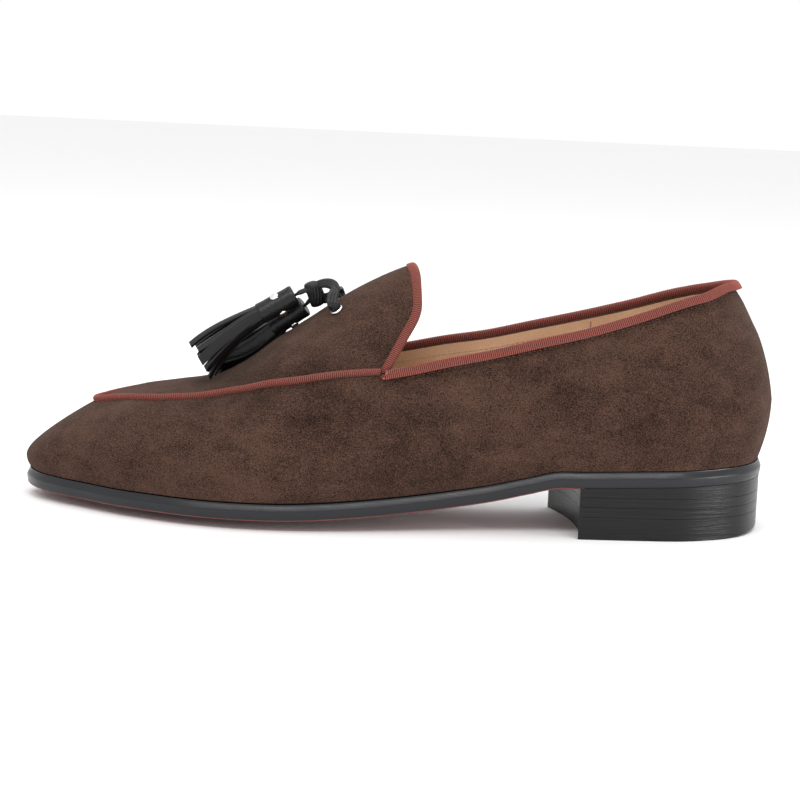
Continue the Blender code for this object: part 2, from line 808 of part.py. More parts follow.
def build_tongue_binding(material):
    outer = tongue_rim(OUTER)
    inner = tongue_rim(INNER)
    pairs = outer + inner[-2::-1]
    for at, beside in ((0, 1), (-1, -2)):
        share = TONGUE_STOP / (pairs[at][0] - pairs[beside][0]).length
        pairs[at] = tuple(mix(pairs[at][k], pairs[beside][k], share) for k in (0, 1))
    return add_object("tongue_binding", sweep("tongue_binding", bead_rings(pairs, -1)), material)


def piping_rings():
    """Rings of the piping along the apron seam, from the outer corner round the toe."""
    seam = []
    for side in (OUTER, INNER):
        run = []
        for rib in RIBS[side][THROAT_RIB:]:
            rim = rib.rim_angle()
            below = rib.wall_point(rim * (WALL_ROWS - 1) / WALL_ROWS)
            run.append((rib.wall_point(rim), below, plug_point(side, rib, 1 / PLUG_ROWS)))
        seam.append(run)
    line = seam[0] + seam[1][-2::-1]
    for at, beside in ((0, 1), (-1, -2)):
        share = PIPING_STOP / (line[at][0] - line[beside][0]).length
        line[at] = tuple(mix(line[at][k], line[beside][k], share) for k in range(3))
    rings = []
    half = PIPING_WIDTH / 2
    for i, (point, below, above) in enumerate(line):
        before = line[max(i - 1, 0)][0]
        after = line[min(i + 1, len(line) - 1)][0]
        along = (after - before).normalized()
        down = (below - point).normalized()
        up = (above - point).normalized()
        across = up - down
        across = (across - along * across.dot(along)).normalized()
        normal = across.cross(along)
        if normal.z < 0:
            normal = -normal
        base = point + normal * GAP * 1.2
        ring = [
            base + down * half,
            base,
            base + up * half,
            base + up * half * 0.72 + normal * PIPING_HEIGHT * 0.6,
            base + normal * PIPING_HEIGHT,
            base + down * half * 0.72 + normal * PIPING_HEIGHT * 0.6,
        ]
        rings.append(ring)
    return rings


def build_piping(material):
    return add_object("apron_piping", sweep("apron_piping", piping_rings()), material)


def surface_frame(side, along, share):
    """A point of the plug with its outward normal."""
    rib = parallel_rib(side, x_at(along))
    point = plug_point(side, rib, share)
    step = 0.01
    ahead = plug_point(side, parallel_rib(side, x_at(along + step)), share)
    higher = plug_point(side, rib, share + step)
    normal = (ahead - point).cross(higher - point).normalized()
    if normal.z < 0:
        normal = -normal
    return point, normal


def turned(name, profile, place, axis, sides=16):
    """A body turned round an axis from a closed profile of radius and height."""
    axis = axis.normalized()
    first = axis.orthogonal().normalized()
    second = axis.cross(first)
    rings = []
    for i in range(sides):
        angle = 2 * math.pi * i / sides
        out = first * math.cos(angle) + second * math.sin(angle)
        rings.append([place + out * r + axis * h for r, h in profile])
    return loop_sweep(name, rings)


def capped(name, profile, place, axis, sides=12):
    """A body turned round an axis from an open profile whose ends are closed by flat faces."""
    axis = axis.normalized()
    first = axis.orthogonal().normalized()
    second = axis.cross(first)
    rings = []
    for r, h in profile:
        ring = []
        for i in range(sides):
            angle = 2 * math.pi * i / sides
            out = first * math.cos(angle) + second * math.sin(angle)
            ring.append(place + out * r + axis * h)
        rings.append(ring)
    return sweep(name, rings)


def build_eyelets(upper, material):
    """Each eyelet sits in a hole cut through the wall."""
    for side in (OUTER, INNER):
        along, share = EYELETS[side]
        point, normal = surface_frame(side, along, share)
        hole = capped(
            "hole_" + SIDE_NAMES[side],
            ((EYELET_BARREL + GAP, -3 * WALL), (EYELET_BARREL + GAP, 2 * WALL)),
            point, normal, 16,
        )
        cutter = bpy.data.objects.new("hole_" + SIDE_NAMES[side], hole)
        bpy.context.collection.objects.link(cutter)
        cutter.hide_render = True
        cutter.display_type = "WIRE"
        cut = upper.modifiers.new("eyelet hole", "BOOLEAN")
        cut.operation = "DIFFERENCE"
        cut.solver = "EXACT"
        cut.object = cutter
        lift = GAP * 1.3
        profile = (
            (EYELET_BORE, -WALL - GAP),
            (EYELET_BARREL, -WALL - GAP),
            (EYELET_BARREL, lift),
            (EYELET_FLANGE, lift),
            (EYELET_FLANGE - 0.0002, lift + 0.0006),
            (EYELET_BARREL + 0.0002, lift + 0.0009),
            (EYELET_BORE, lift + 0.0005),
        )
        name = "eyelet_" + SIDE_NAMES[side]
        add_object(name, turned(name, profile, point, normal), material)


def smooth_route(points, spacing):
    """A smooth curve through a route's points, read at an even spacing."""
    route = [Vector(point) for point in points]
    dense = []
    for i in range(len(route) - 1):
        p0 = route[i - 1] if i else route[0] * 2 - route[1]
        p1, p2 = route[i], route[i + 1]
        p3 = route[i + 2] if i + 2 < len(route) else p2 * 2 - p1
        for step in range(12):
            t = step / 12
            dense.append(
                0.5 * ((2 * p1) + (p2 - p0) * t + (2 * p0 - 5 * p1 + 4 * p2 - p3) * t**2
                       + (3 * p1 - p0 - 3 * p2 + p3) * t**3)
            )
    dense.append(route[-1])
    way = [0.0]
    for a, b in zip(dense, dense[1:]):
        way.append(way[-1] + (b - a).length)
    count = max(2, round(way[-1] / spacing))
    spots = []
    for i in range(count + 1):
        at = way[-1] * i / count
        spots.append([float(np.interp(at, way, [p[axis] for p in dense])) for axis in range(3)])
    return spots


def build_cord(name, points, material):
    curve = bpy.data.curves.new(name, "CURVE")
    curve.dimensions = "3D"
    curve.bevel_depth = LACE_THICKNESS / 2
    curve.bevel_resolution = 2
    curve.use_fill_caps = True
    spots = smooth_route(points, LACE_THICKNESS)
    spline = curve.splines.new("POLY")
    spline.points.add(len(spots) - 1)
    for point, spot in zip(spline.points, spots):
        point.co = (*spot, 1.0)
    curve.materials.append(material)
    cord = bpy.data.objects.new(name, curve)
    bpy.context.collection.objects.link(cord)
    return cord


def build_lace(material):
    for side in (OUTER, INNER):
        build_cord("lace_root_" + SIDE_NAMES[side], LACE_ROOTS[side], material)
        build_cord("lace_end_" + SIDE_NAMES[side], LACE_ENDS[side], material)
    half = KNOT_LENGTH / 2
    profile = (
        (KNOT_RADIUS * 0.55, -half),
        (KNOT_RADIUS * 0.95, -half * 0.75),
        (KNOT_RADIUS, 0.0),
        (KNOT_RADIUS * 0.95, half * 0.75),
        (KNOT_RADIUS * 0.55, half),
    )
    knot = capped("lace_knot", profile, Vector(KNOT_CENTRE), Vector(KNOT_AXIS), 10)
    add_object("lace_knot", knot, material)


def strip_mesh(name, top, axis, bend, out, across, spread, length):
    """One flat strip of a fringe, from inside the cap to its free end, bending as it hangs."""
    rings = []
    steps = 4
    for i in range(steps + 1):
        share = i / steps
        free = max(0.0, share - STRIP_HELD_SHARE) / (1 - STRIP_HELD_SHARE)
        centre = top + axis * (length * share) + bend * free**2 + out * (spread * share**1.3)
        half = STRIP_WIDTH / 2 * (0.8 + 0.2 * share)
        thick = STRIP_THICKNESS / 2
        rings.append([
            centre + across * half + out * thick,
            centre - across * half + out * thick,
            centre - across * half - out * thick,
            centre + across * half - out * thick,
        ])
    return sweep(name, rings)


def build_tassel(side, leather, silver):
    name = "tassel_" + SIDE_NAMES[side]
    top, way, tips, fan = TASSELS[side]
    top, axis = Vector(top), Vector(way).normalized()
    bend = Vector(tips) - top - axis * (CAP_LENGTH + FRINGE_LENGTH)
    outward = Vector((0.0, -1.0, 0.0))
    first = (outward - axis * outward.dot(axis)).normalized()
    second = axis.cross(first)
    bore = CAP_RADIUS - CAP_WALL
    profile = (
        (0.0006, CAP_WALL),
        (0.0006, 0.0),
        (CAP_RADIUS * 0.86, 0.0),
        (CAP_RADIUS, CAP_LENGTH * 0.07),
        (CAP_RADIUS * 0.97, CAP_LENGTH),
        (bore * 0.97, CAP_LENGTH),
        (bore, CAP_WALL),
    )
    cap = name + "_cap"
    add_object(cap, turned(cap, profile, top, axis, 18), leather)
    root = capped(
        name + "_fringe",
        ((bore - GAP * 2.5, CAP_LENGTH * 0.45), (bore - GAP * 2.5, CAP_LENGTH * 0.85)),
        top, axis, 14,
    )
    fringe = add_object(name + "_fringe", root, leather)
    group = bpy.data.collections.new(name + "_strips")
    bpy.context.scene.collection.children.link(group)
    count = STRIPS + 4
    for i in range(count):
        inner_row = i >= STRIPS
        turn = 2 * math.pi * (i / STRIPS if not inner_row else (i - STRIPS) / 4 + 0.1)
        out = first * math.cos(turn) + second * math.sin(turn)
        across = axis.cross(out)
        ring = (bore - GAP * 2.5 - STRIP_THICKNESS * 0.6) * (0.45 if inner_row else 1.0)
        spread = fan * 0.4 if inner_row else fan
        length = CAP_LENGTH * 0.25 + FRINGE_LENGTH * (0.93 + 0.07 * math.sin(2.4 * i))
        start = top + axis * (CAP_LENGTH * 0.75) + out * ring
        label = name + "_strip_" + str(i + 1)
        strip = bpy.data.objects.new(label, strip_mesh(label, start, axis, bend, out, across, spread, length))
        group.objects.link(strip)
        strip.hide_render = True
        strip.display_type = "WIRE"
    join = fringe.modifiers.new("strips", "BOOLEAN")
    join.operation = "UNION"
    join.solver = "EXACT"
    join.operand_type = "COLLECTION"
    join.collection = group
    for i in range(RIVETS):
        turn = 2 * math.pi * i / RIVETS + RIVET_TURN
        out = first * math.cos(turn) + second * math.sin(turn)
        place = top + axis * (CAP_LENGTH * 0.48) + out * (CAP_RADIUS + GAP)
        dome = (
            (RIVET_RADIUS, 0.0),
            (RIVET_RADIUS * 0.95, RIVET_HEIGHT * 0.35),
            (RIVET_RADIUS * 0.5, RIVET_HEIGHT * 0.9),
            (RIVET_RADIUS * 0.15, RIVET_HEIGHT),
        )
        rivet = name + "_rivet_" + str(i + 1)
        add_object(rivet, capped(rivet, dome, place, out, 10), silver)


def clear_scene():
    for thing in list(bpy.data.objects):
        bpy.data.objects.remove(thing, do_unlink=True)


def main():
    clear_scene()
    suede = make_material("suede", (0.075, 0.045, 0.032), 0.95)
    edge_black = make_material("sole_edge", (0.012, 0.012, 0.014), 0.35)
    lining = make_material("lining", (0.55, 0.33, 0.18), 0.6)
    grosgrain = make_material("grosgrain", (0.15, 0.035, 0.028), 0.8)
    leather = make_material("black_leather", (0.012, 0.012, 0.013), 0.5)
    silver = make_material("silver", (0.8, 0.8, 0.8), 0.2, 1.0)
    build_outsole(edge_black)
    build_top_lift(edge_black)
    build_heel(edge_black)
    build_insole(lining)
    upper = build_upper(suede)
    build_collar_binding(grosgrain)
    build_tongue_binding(grosgrain)
    build_piping(grosgrain)
    build_eyelets(upper, silver)
    build_lace(leather)
    for side in (OUTER, INNER):
        build_tassel(side, leather, silver)


main()
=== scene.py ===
"""Looks of a left tassel loafer: dark brown suede, burgundy ribbed trim, black sole edge."""
import math

import bmesh
import bpy
import numpy as np
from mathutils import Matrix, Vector, noise


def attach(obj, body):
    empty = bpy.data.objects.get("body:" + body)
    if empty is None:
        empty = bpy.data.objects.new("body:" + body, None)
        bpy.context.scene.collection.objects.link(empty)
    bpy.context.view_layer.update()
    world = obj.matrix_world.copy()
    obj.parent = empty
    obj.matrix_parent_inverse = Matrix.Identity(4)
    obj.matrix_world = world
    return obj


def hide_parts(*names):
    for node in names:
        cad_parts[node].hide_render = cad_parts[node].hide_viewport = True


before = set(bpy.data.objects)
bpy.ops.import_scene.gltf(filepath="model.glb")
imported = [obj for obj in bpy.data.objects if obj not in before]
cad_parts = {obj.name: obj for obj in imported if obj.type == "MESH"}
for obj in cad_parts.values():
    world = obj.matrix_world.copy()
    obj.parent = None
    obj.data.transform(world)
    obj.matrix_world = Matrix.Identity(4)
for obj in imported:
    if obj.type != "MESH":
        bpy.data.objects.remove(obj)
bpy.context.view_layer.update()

# Driving sizes of the shoe, in metres
SHOE_LENGTH = 0.3015
BALL_WIDTH = 0.100
HEEL_BACK = 0.037
TOP_HEIGHT = 0.1012
TONGUE_HEIGHT = 0.1030
SEAT_HEIGHT = 0.0227
SOLE_THICKNESS = 0.0066
SOLE_MARGIN = 0.0015
WALL = 0.0020
INSOLE_THICKNESS = 0.0030
INSOLE_PLAY = 0.0008
GAP = 0.0003
HEEL_LENGTH = 0.0765
BREAST_TURN = 0.0085
BREAST_HOLLOW = 0.0045
HEEL_BEVEL_RISE = 0.0022
HEEL_BEVEL_LENGTH = 0.020
TOP_LIFT = 0.0090
LIFT = 0.0040
LIFTS = 2
BINDING_HEIGHT = 0.0032
BINDING_PROUD = 0.0007
COLLAR_STOP = 0.0022
TONGUE_STOP = 0.0002
PIPING_WIDTH = 0.0030
PIPING_HEIGHT = 0.0020
PIPING_STOP = 0.0001
EYELET_BORE = 0.0018
EYELET_BARREL = 0.0021
EYELET_FLANGE = 0.0027
THONG_WIDTH = 0.0043
THONG_THICKNESS = 0.0016
CAP_LENGTH = 0.0160
CAP_RADIUS = 0.0046
CAP_WALL = 0.0009
FRINGE_LENGTH = 0.0310
RIVETS = 3
RIVET_TURN = 0.96
RIVET_RADIUS = 0.0018
RIVET_HEIGHT = 0.0010
HEEL_PIVOT_SHARE = 0.107
HEEL_LEAN = 0.13
LEAN_EASE = 0.15
TOE_PIVOT_SHARE = 0.840
THROAT_SHARE = 0.521

# How finely the forms are cut
HEEL_FAN = 26
QUARTER_RIBS = 70
VAMP_RIBS = 56
TOE_FAN = 34
FOOT_ROWS = 8
WALL_ROWS = 26
PLUG_ROWS = 24
SOLE_SHARES = (0.985, 0.96, 0.92, 0.86, 0.78, 0.66, 0.52, 0.36, 0.18)

OUTER = -1
INNER = 1
SIDE_NAMES = {OUTER: "outer", INNER: "inner"}

# Edge of the outsole from above: along is of SHOE_LENGTH, both sides are of BALL_WIDTH
OUTLINE = (
    # along, outer, inner
    (0.000, 0.053, 0.053),
    (0.010, -0.088, 0.186),
    (0.037, -0.208, 0.283),
    (0.107, -0.325, 0.337),
    (0.181, -0.360, 0.305),
    (0.255, -0.380, 0.262),
    (0.322, -0.388, 0.215),
    (0.389, -0.397, 0.195),
    (0.456, -0.424, 0.222),
    (0.523, -0.460, 0.290),
    (0.591, -0.494, 0.378),
    (0.658, -0.510, 0.452),
    (0.711, -0.500, 0.483),
    (0.765, -0.465, 0.488),
    (0.815, -0.405, 0.455),
    (0.862, -0.335, 0.405),
    (0.909, -0.240, 0.340),
    (0.953, -0.150, 0.280),
    (0.983, -0.060, 0.208),
    (1.000, 0.075, 0.075),
)

# Bottom of the outsole: height of its outer edge, inner edge and middle, of SEAT_HEIGHT
BOTTOM = (
    # along, outer, inner, middle
    (0.000, 1.000, 1.000, 1.000),
    (0.100, 0.955, 0.955, 0.955),
    (0.200, 0.910, 0.910, 0.910),
    (0.255, 0.885, 0.885, 0.885),
    (0.285, 0.872, 0.872, 0.872),
    (0.320, 0.760, 0.800, 0.760),
    (0.370, 0.600, 0.690, 0.560),
    (0.430, 0.465, 0.560, 0.370),
    (0.490, 0.360, 0.430, 0.190),
    (0.560, 0.270, 0.300, 0.040),
    (0.620, 0.215, 0.225, -0.020),
    (0.700, 0.190, 0.190, -0.015),
    (0.800, 0.185, 0.185, 0.040),
    (0.900, 0.180, 0.180, 0.120),
    (1.000, 0.200, 0.200, 0.200),
)

# Top line of the last: height of TONGUE_HEIGHT, place across, squareness of the section
CROWN = (
    # along, height, across, squareness
    (0.000, 1.070, 0.053, 2.00),
    (0.107, 1.105, 0.006, 2.00),
    (0.222, 1.090, -0.034, 2.00),
    (0.322, 1.068, -0.055, 2.00),
    (0.420, 1.030, -0.050, 2.00),
    (0.490, 0.990, -0.020, 2.00),
    (0.513, 0.961, -0.010, 2.00),
    (0.560, 0.886, 0.004, 2.00),
    (0.610, 0.786, 0.014, 2.00),
    (0.660, 0.680, 0.020, 2.05),
    (0.705, 0.578, 0.024, 2.10),
    (0.750, 0.510, 0.026, 2.20),
    (0.795, 0.483, 0.028, 2.30),
    (0.840, 0.461, 0.030, 2.35),
    (0.900, 0.414, 0.040, 2.20),
    (1.000, 0.300, 0.075, 2.00),
)

# Widest line of the upper: reach beyond its foot (of BALL_WIDTH) and height (of TOP_HEIGHT)
BELLY = (
    # along, outer reach, inner reach, outer height, inner height
    (0.000, 0.042, 0.042, 0.530, 0.530),
    (0.107, 0.028, 0.028, 0.490, 0.490),
    (0.222, 0.034, 0.034, 0.450, 0.450),
    (0.322, 0.052, 0.070, 0.400, 0.420),
    (0.420, 0.050, 0.090, 0.350, 0.390),
    (0.513, 0.036, 0.066, 0.300, 0.340),
    (0.610, 0.030, 0.036, 0.270, 0.290),
    (0.711, 0.030, 0.030, 0.250, 0.260),
    (0.840, 0.026, 0.026, 0.225, 0.225),
    (1.000, 0.018, 0.018, 0.158, 0.158),
)

# Collar: height of its edge, of TOP_HEIGHT
COLLAR = (
    # along, outer, inner
    (0.000, 0.998, 0.998),
    (0.050, 1.000, 0.974),
    (0.107, 0.966, 0.944),
    (0.185, 0.890, 0.878),
    (0.250, 0.830, 0.827),
    (0.322, 0.776, 0.775),
    (0.375, 0.734, 0.735),
    (0.440, 0.690, 0.696),
    (0.480, 0.660, 0.666),
    (0.521, 0.634, 0.636),
)

# Apron seam: its place on the rib, as a share of the way out from the top line
APRON = (
    # along, outer, inner
    (0.521, 0.868, 0.868),
    (0.560, 0.841, 0.841),
    (0.600, 0.806, 0.812),
    (0.640, 0.765, 0.785),
    (0.686, 0.684, 0.745),
    (0.720, 0.606, 0.705),
    (0.750, 0.562, 0.680),
    (0.780, 0.552, 0.665),
    (0.815, 0.545, 0.655),
    (0.840, 0.515, 0.640),
    (0.870, 0.475, 0.600),
    (0.930, 0.430, 0.500),
    (1.000, 0.405, 0.405),
)

# Tongue's edge: how far it leans back over the throat corner, of TONGUE_HEIGHT
TONGUE_EDGE = (
    # share of the way up from the corner, lean
    (0.00, 0.000),
    (0.17, 0.061),
    (0.33, 0.110),
    (0.50, 0.112),
    (0.67, 0.103),
    (0.83, 0.092),
    (1.00, 0.083),
)
TONGUE_START_SHARE = 0.66

# Where the eyelets sit: along the shoe, and the share of the way up the plug
EYELETS = {OUTER: (0.591, 0.66), INNER: (0.588, 0.66)}

# The lace's way, given in metres: out of an eyelet, to the knot
LACE_ROOTS = {
    OUTER: ((-0.1389, -0.0157, 0.0843), (-0.1402, -0.0164, 0.0863), (-0.1407, -0.0150, 0.0888),
            (-0.1400, -0.0116, 0.0911), (-0.1406, -0.0078, 0.0928), (-0.1432, -0.0042, 0.0934),
            (-0.1466, -0.0018, 0.0926)),
    INNER: ((-0.1377, 0.0133, 0.0851), (-0.1389, 0.0143, 0.0872), (-0.1395, 0.0132, 0.0892),
            (-0.1399, 0.0098, 0.0896), (-0.1410, 0.0062, 0.0889), (-0.1426, 0.0032, 0.0878),
            (-0.1443, 0.0010, 0.0869)),
}
# through the knot
LACE_MIDDLES = {
    OUTER: ((-0.1492, -0.0022, 0.0911),),
    INNER: ((-0.1472, 0.0010, 0.0870),),
}
# and out of the knot to the cap of a tassel
LACE_ENDS = {
    OUTER: ((-0.1524, -0.0036, 0.0899), (-0.1541, -0.0043, 0.0892), (-0.15576, -0.00496, 0.0883)),
    INNER: ((-0.1502, 0.0028, 0.0862), (-0.1509, 0.0030, 0.08565), (-0.1517, 0.0030, 0.08495)),
}
KNOT_CENTRE = (-0.1487, -0.0010, 0.0884)
KNOT_LENGTH = 0.0105
KNOT_AXIS = (-0.37, -0.20, 0.906)
# A tassel: the top of its cap, the way in which the cap points, the middle of the fringe's tips
# and how far the fringe fans out there
TASSELS = {
    OUTER: ((-0.1561, -0.0050, 0.0881), (-0.850, -0.100, -0.509),
            (-0.1925, -0.0095, 0.0607), 0.0038),
    INNER: ((-0.1520, 0.0030, 0.0847), (-0.801, 0.060, -0.596),
            (-0.1885, 0.0055, 0.0592), 0.0016),
}

# How far each tassel is laid over from its solid: the inner one lies on the vamp
REST = {OUTER: Vector((0.0, 0.0, 0.0)), INNER: Vector((-0.0004, 0.0006, -0.0018))}

SLOPES = {}


def cubic(t, width, start, start_slope, end, end_slope):
    """A cubic at share t of a step of this width, from the values and slopes at its ends."""
    return (
        (2 * t**3 - 3 * t**2 + 1) * start
        + (t**3 - 2 * t**2 + t) * width * start_slope
        + (3 * t**2 - 2 * t**3) * end
        + (t**3 - t**2) * width * end_slope
    )


def smooth_curve(rows, column, at):
    """Cubic through one column of a table, with the tangents of its neighbours."""
    key = (id(rows), column)
    if key not in SLOPES:
        xs = np.array([row[0] for row in rows])
        ys = np.array([row[column] for row in rows])
        SLOPES[key] = (xs.tolist(), ys.tolist(), np.gradient(ys, xs).tolist())
    xs, ys, slopes = SLOPES[key]
    at = min(max(at, xs[0]), xs[-1])
    i = 0
    while i < len(xs) - 2 and at >= xs[i + 1]:
        i += 1
    width = xs[i + 1] - xs[i]
    return cubic((at - xs[i]) / width, width, ys[i], slopes[i], ys[i + 1], slopes[i + 1])


def side_value(rows, along, side, first=1):
    """A table's value on one side, where its outer and inner columns stand side by side."""
    return smooth_curve(rows, first if side == OUTER else first + 1, along)


def x_at(along):
    return HEEL_BACK - along * SHOE_LENGTH


def along_at(x):
    return (HEEL_BACK - x) / SHOE_LENGTH


def closed_outline(steps=24):
    """The outsole's edge as a dense closed line, and the same line cut into its two sides."""
    outer = [(row[0] * SHOE_LENGTH, row[1] * BALL_WIDTH) for row in OUTLINE]
    inner = [(row[0] * SHOE_LENGTH, row[2] * BALL_WIDTH) for row in OUTLINE]
    ring = np.array(outer + inner[-2:0:-1])
    count = len(ring)
    chords = np.linalg.norm(np.roll(ring, -1, axis=0) - ring, axis=1) ** 0.5
    dense = []
    for i in range(count):
        p0, p1, p2, p3 = (ring[(i + k - 1) % count] for k in range(4))
        d0, d1, d2 = (chords[(i + k - 1) % count] for k in range(3))
        m1 = (p1 - p0) / d0 - (p2 - p0) / (d0 + d1) + (p2 - p1) / d1
        m2 = (p2 - p1) / d1 - (p3 - p1) / (d1 + d2) + (p3 - p2) / d2
        dense += [cubic(step / steps, d1, p1, m1, p2, m2) for step in range(steps)]
    dense = np.array(dense)
    dense[:, 0] = HEEL_BACK - dense[:, 0]
    toe = (len(OUTLINE) - 1) * steps
    return {OUTER: dense[: toe + 1], INNER: np.vstack([dense[toe:], dense[:1]])[::-1]}


EDGE = closed_outline()


def edge_across(x, side):
    """Place across of the outsole's edge, where the ribs are parallel."""
    line = EDGE[side]
    return float(np.interp(-x, -line[:, 0], line[:, 1]))


def even_points(line, count):
    """Points of a flat line, read again at even steps along it."""
    steps = np.linalg.norm(np.diff(line, axis=0), axis=1)
    way = np.concatenate([[0.0], np.cumsum(steps)])
    at = np.linspace(0.0, way[-1], count + 1)
    return list(zip(*(np.interp(at, way, line[:, column]).tolist() for column in (0, 1))))


def axis_across(x):
    return smooth_curve(CROWN, 2, along_at(x)) * BALL_WIDTH


class Rib:
    """One rib of the last: a vertical half section from the edge of the sole to the axis."""

    def __init__(self, side, edge, axis):
        self.side = side
        self.axis = np.array(axis)
        out = np.array(edge) - self.axis
        self.sole_reach = float(np.linalg.norm(out))
        self.out = out / self.sole_reach
        self.along = along_at(edge[0])
        self.foot_reach = self.sole_reach - SOLE_MARGIN
        self.belly_reach = self.foot_reach + side_value(BELLY, self.along, side) * BALL_WIDTH
        self.belly_height = side_value(BELLY, self.along, side, 3) * TOP_HEIGHT
        self.sole_bottom = side_value(BOTTOM, self.along, side) * SEAT_HEIGHT
        self.sole_top = self.sole_bottom + SOLE_THICKNESS

    def place(self, reach, height):
        return Vector((
            float(self.axis[0]) + float(self.out[0]) * reach,
            float(self.axis[1]) + float(self.out[1]) * reach,
            float(height),
        ))

    def crown_at(self, reach):
        along = along_at(float(self.axis[0]) + float(self.out[0]) * reach)
        return smooth_curve(CROWN, 1, along) * TONGUE_HEIGHT, smooth_curve(CROWN, 3, along)

    def foot_point(self, share):
        """A point between the foot, share 0, and the belly, share 1."""
        low = self.sole_top + GAP
        reach = self.belly_reach - (self.belly_reach - self.foot_reach) * (1 - share) ** 2
        return self.place(reach, low + (self.belly_height - low) * share)

    def wall_point(self, angle):
        """A point above the belly; the angle runs from 0 at the belly to a right angle on top."""
        square = self.crown_at(self.belly_reach * math.cos(angle))[1]
        reach = self.belly_reach * max(math.cos(angle), 0.0) ** (2 / square)
        crown = self.crown_at(reach)[0]
        rise = (crown - self.belly_height) * math.sin(angle) ** (2 / square)
        back = max(float(self.out[0]), 0.0)
        lean = HEEL_LEAN * back**2 * (1 + LEAN_EASE) / (back + LEAN_EASE) * rise
        return self.place(reach - lean, self.belly_height + rise)

    def angle_at_share(self, share):
        square = self.crown_at(self.belly_reach * share)[1]
        return math.acos(share ** (square / 2))

    def angle_at_height(self, height):
        low, high = 0.0, math.pi / 2
        for _ in range(30):
            middle = (low + high) / 2
            if self.wall_point(middle).z < height:
                low = middle
            else:
                high = middle
        return (low + high) / 2

    def rim_angle(self):
        """Where the rib's wall ends: the collar behind the throat, the apron seam ahead of it."""
        if self.along < THROAT_SHARE - 1e-6:
            height = side_value(COLLAR, self.along, self.side) * TOP_HEIGHT - BINDING_HEIGHT
            return self.angle_at_height(height)
        return self.angle_at_share(side_value(APRON, self.along, self.side))


def parallel_rib(side, x):
    return Rib(side, (x, edge_across(x, side)), (x, axis_across(x)))


def fan_ribs(side, pivot_along, count, tip_first):
    """Ribs from a tip of the shoe round to the pivot's own section, evenly spaced at the edge."""
    pivot_x = x_at(pivot_along)
    line = EDGE[side]
    last = [[pivot_x, edge_across(pivot_x, side)]]
    if tip_first:
        part = np.vstack([line[line[:, 0] >= pivot_x], last])
    else:
        part = np.vstack([last, line[line[:, 0] <= pivot_x]])
    pivot = (pivot_x, axis_across(pivot_x))
    return [Rib(side, spot, pivot) for spot in even_points(part, count)]


def side_ribs(side):
    """All ribs of one side, from the back of the heel to the toe."""
    ribs = fan_ribs(side, HEEL_PIVOT_SHARE, HEEL_FAN, True)
    for i in range(1, QUARTER_RIBS + 1):
        along = HEEL_PIVOT_SHARE + (THROAT_SHARE - HEEL_PIVOT_SHARE) * i / QUARTER_RIBS
        ribs.append(parallel_rib(side, x_at(along)))
    for i in range(1, VAMP_RIBS):
        along = THROAT_SHARE + (TOE_PIVOT_SHARE - THROAT_SHARE) * i / VAMP_RIBS
        ribs.append(parallel_rib(side, x_at(along)))
    return ribs + fan_ribs(side, TOE_PIVOT_SHARE, TOE_FAN, False)


THROAT_RIB = HEEL_FAN + QUARTER_RIBS
RIBS = {OUTER: side_ribs(OUTER), INNER: side_ribs(INNER)}
RIB_COUNT = len(RIBS[OUTER])
RING = RIBS[OUTER] + RIBS[INNER][-2:0:-1]
for rib in RING:
    rib.rim = rib.rim_angle()


def plug_point(side, rib, share):
    """A point of the plug, from the apron seam, share 0, to the top line, share 1."""
    start = rib.rim_angle()
    angle = start + (math.pi / 2 - start) * share
    if rib.along >= TONGUE_START_SHARE:
        return rib.wall_point(angle)
    weight = ((TONGUE_START_SHARE - rib.along) / (TONGUE_START_SHARE - THROAT_SHARE)) ** 2
    lean = smooth_curve(TONGUE_EDGE, 1, share) * TONGUE_HEIGHT * weight
    return parallel_rib(side, float(rib.axis[0]) + lean).wall_point(angle)


def surface_frame(side, along, share):
    """A point of the plug with its outward normal."""
    rib = parallel_rib(side, x_at(along))
    point = plug_point(side, rib, share)
    step = 0.01
    ahead = plug_point(side, parallel_rib(side, x_at(along + step)), share)
    higher = plug_point(side, rib, share + step)
    normal = (ahead - point).cross(higher - point).normalized()
    return point, normal if normal.z > 0 else -normal


def mesh_from(name, points, faces):
    mesh = bpy.data.meshes.new(name)
    mesh.from_pydata([tuple(point) for point in points], [], faces)
    mesh.update()
    return mesh


def close_mesh(name, points, faces):
    """A closed body whose faces are turned outwards."""
    mesh = mesh_from(name, points, faces)
    shape = bmesh.new()
    shape.from_mesh(mesh)
    bmesh.ops.recalc_face_normals(shape, faces=shape.faces)
    shape.to_mesh(mesh)
    shape.free()
    return mesh


def add_object(name, mesh, materials, smooth_angle=math.radians(40)):
    thing = bpy.data.objects.new(name, mesh)
    bpy.context.scene.collection.objects.link(thing)
    for material in materials:
        mesh.materials.append(material)
    mesh.shade_smooth()
    mesh.set_sharp_from_angle(angle=smooth_angle)
    return thing


def settle(thing):
    """Turn an object's modifiers into a plain mesh and take them off."""
    depsgraph = bpy.context.evaluated_depsgraph_get()
    made = bpy.data.meshes.new_from_object(
        thing.evaluated_get(depsgraph), preserve_all_data_layers=True, depsgraph=depsgraph
    )
    old = thing.data
    name = old.name
    thing.modifiers.clear()
    thing.data = made
    bpy.data.meshes.remove(old)
    made.name = name


def hand_over(thing, slot, *nodes):
    """A finished piece: hung on the root body, with the plain solids it replaces hidden. Its slot is
    not used.
    """
    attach(thing, "root")
    if nodes:
        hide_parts(*nodes)


def band_faces(row_a, row_b):
    faces = []
    count = len(row_a)
    for i in range(count):
        j = (i + 1) % count
        face = tuple(dict.fromkeys((row_a[i], row_a[j], row_b[j], row_b[i])))
        if len(face) > 2:
            faces.append(face)
    return faces


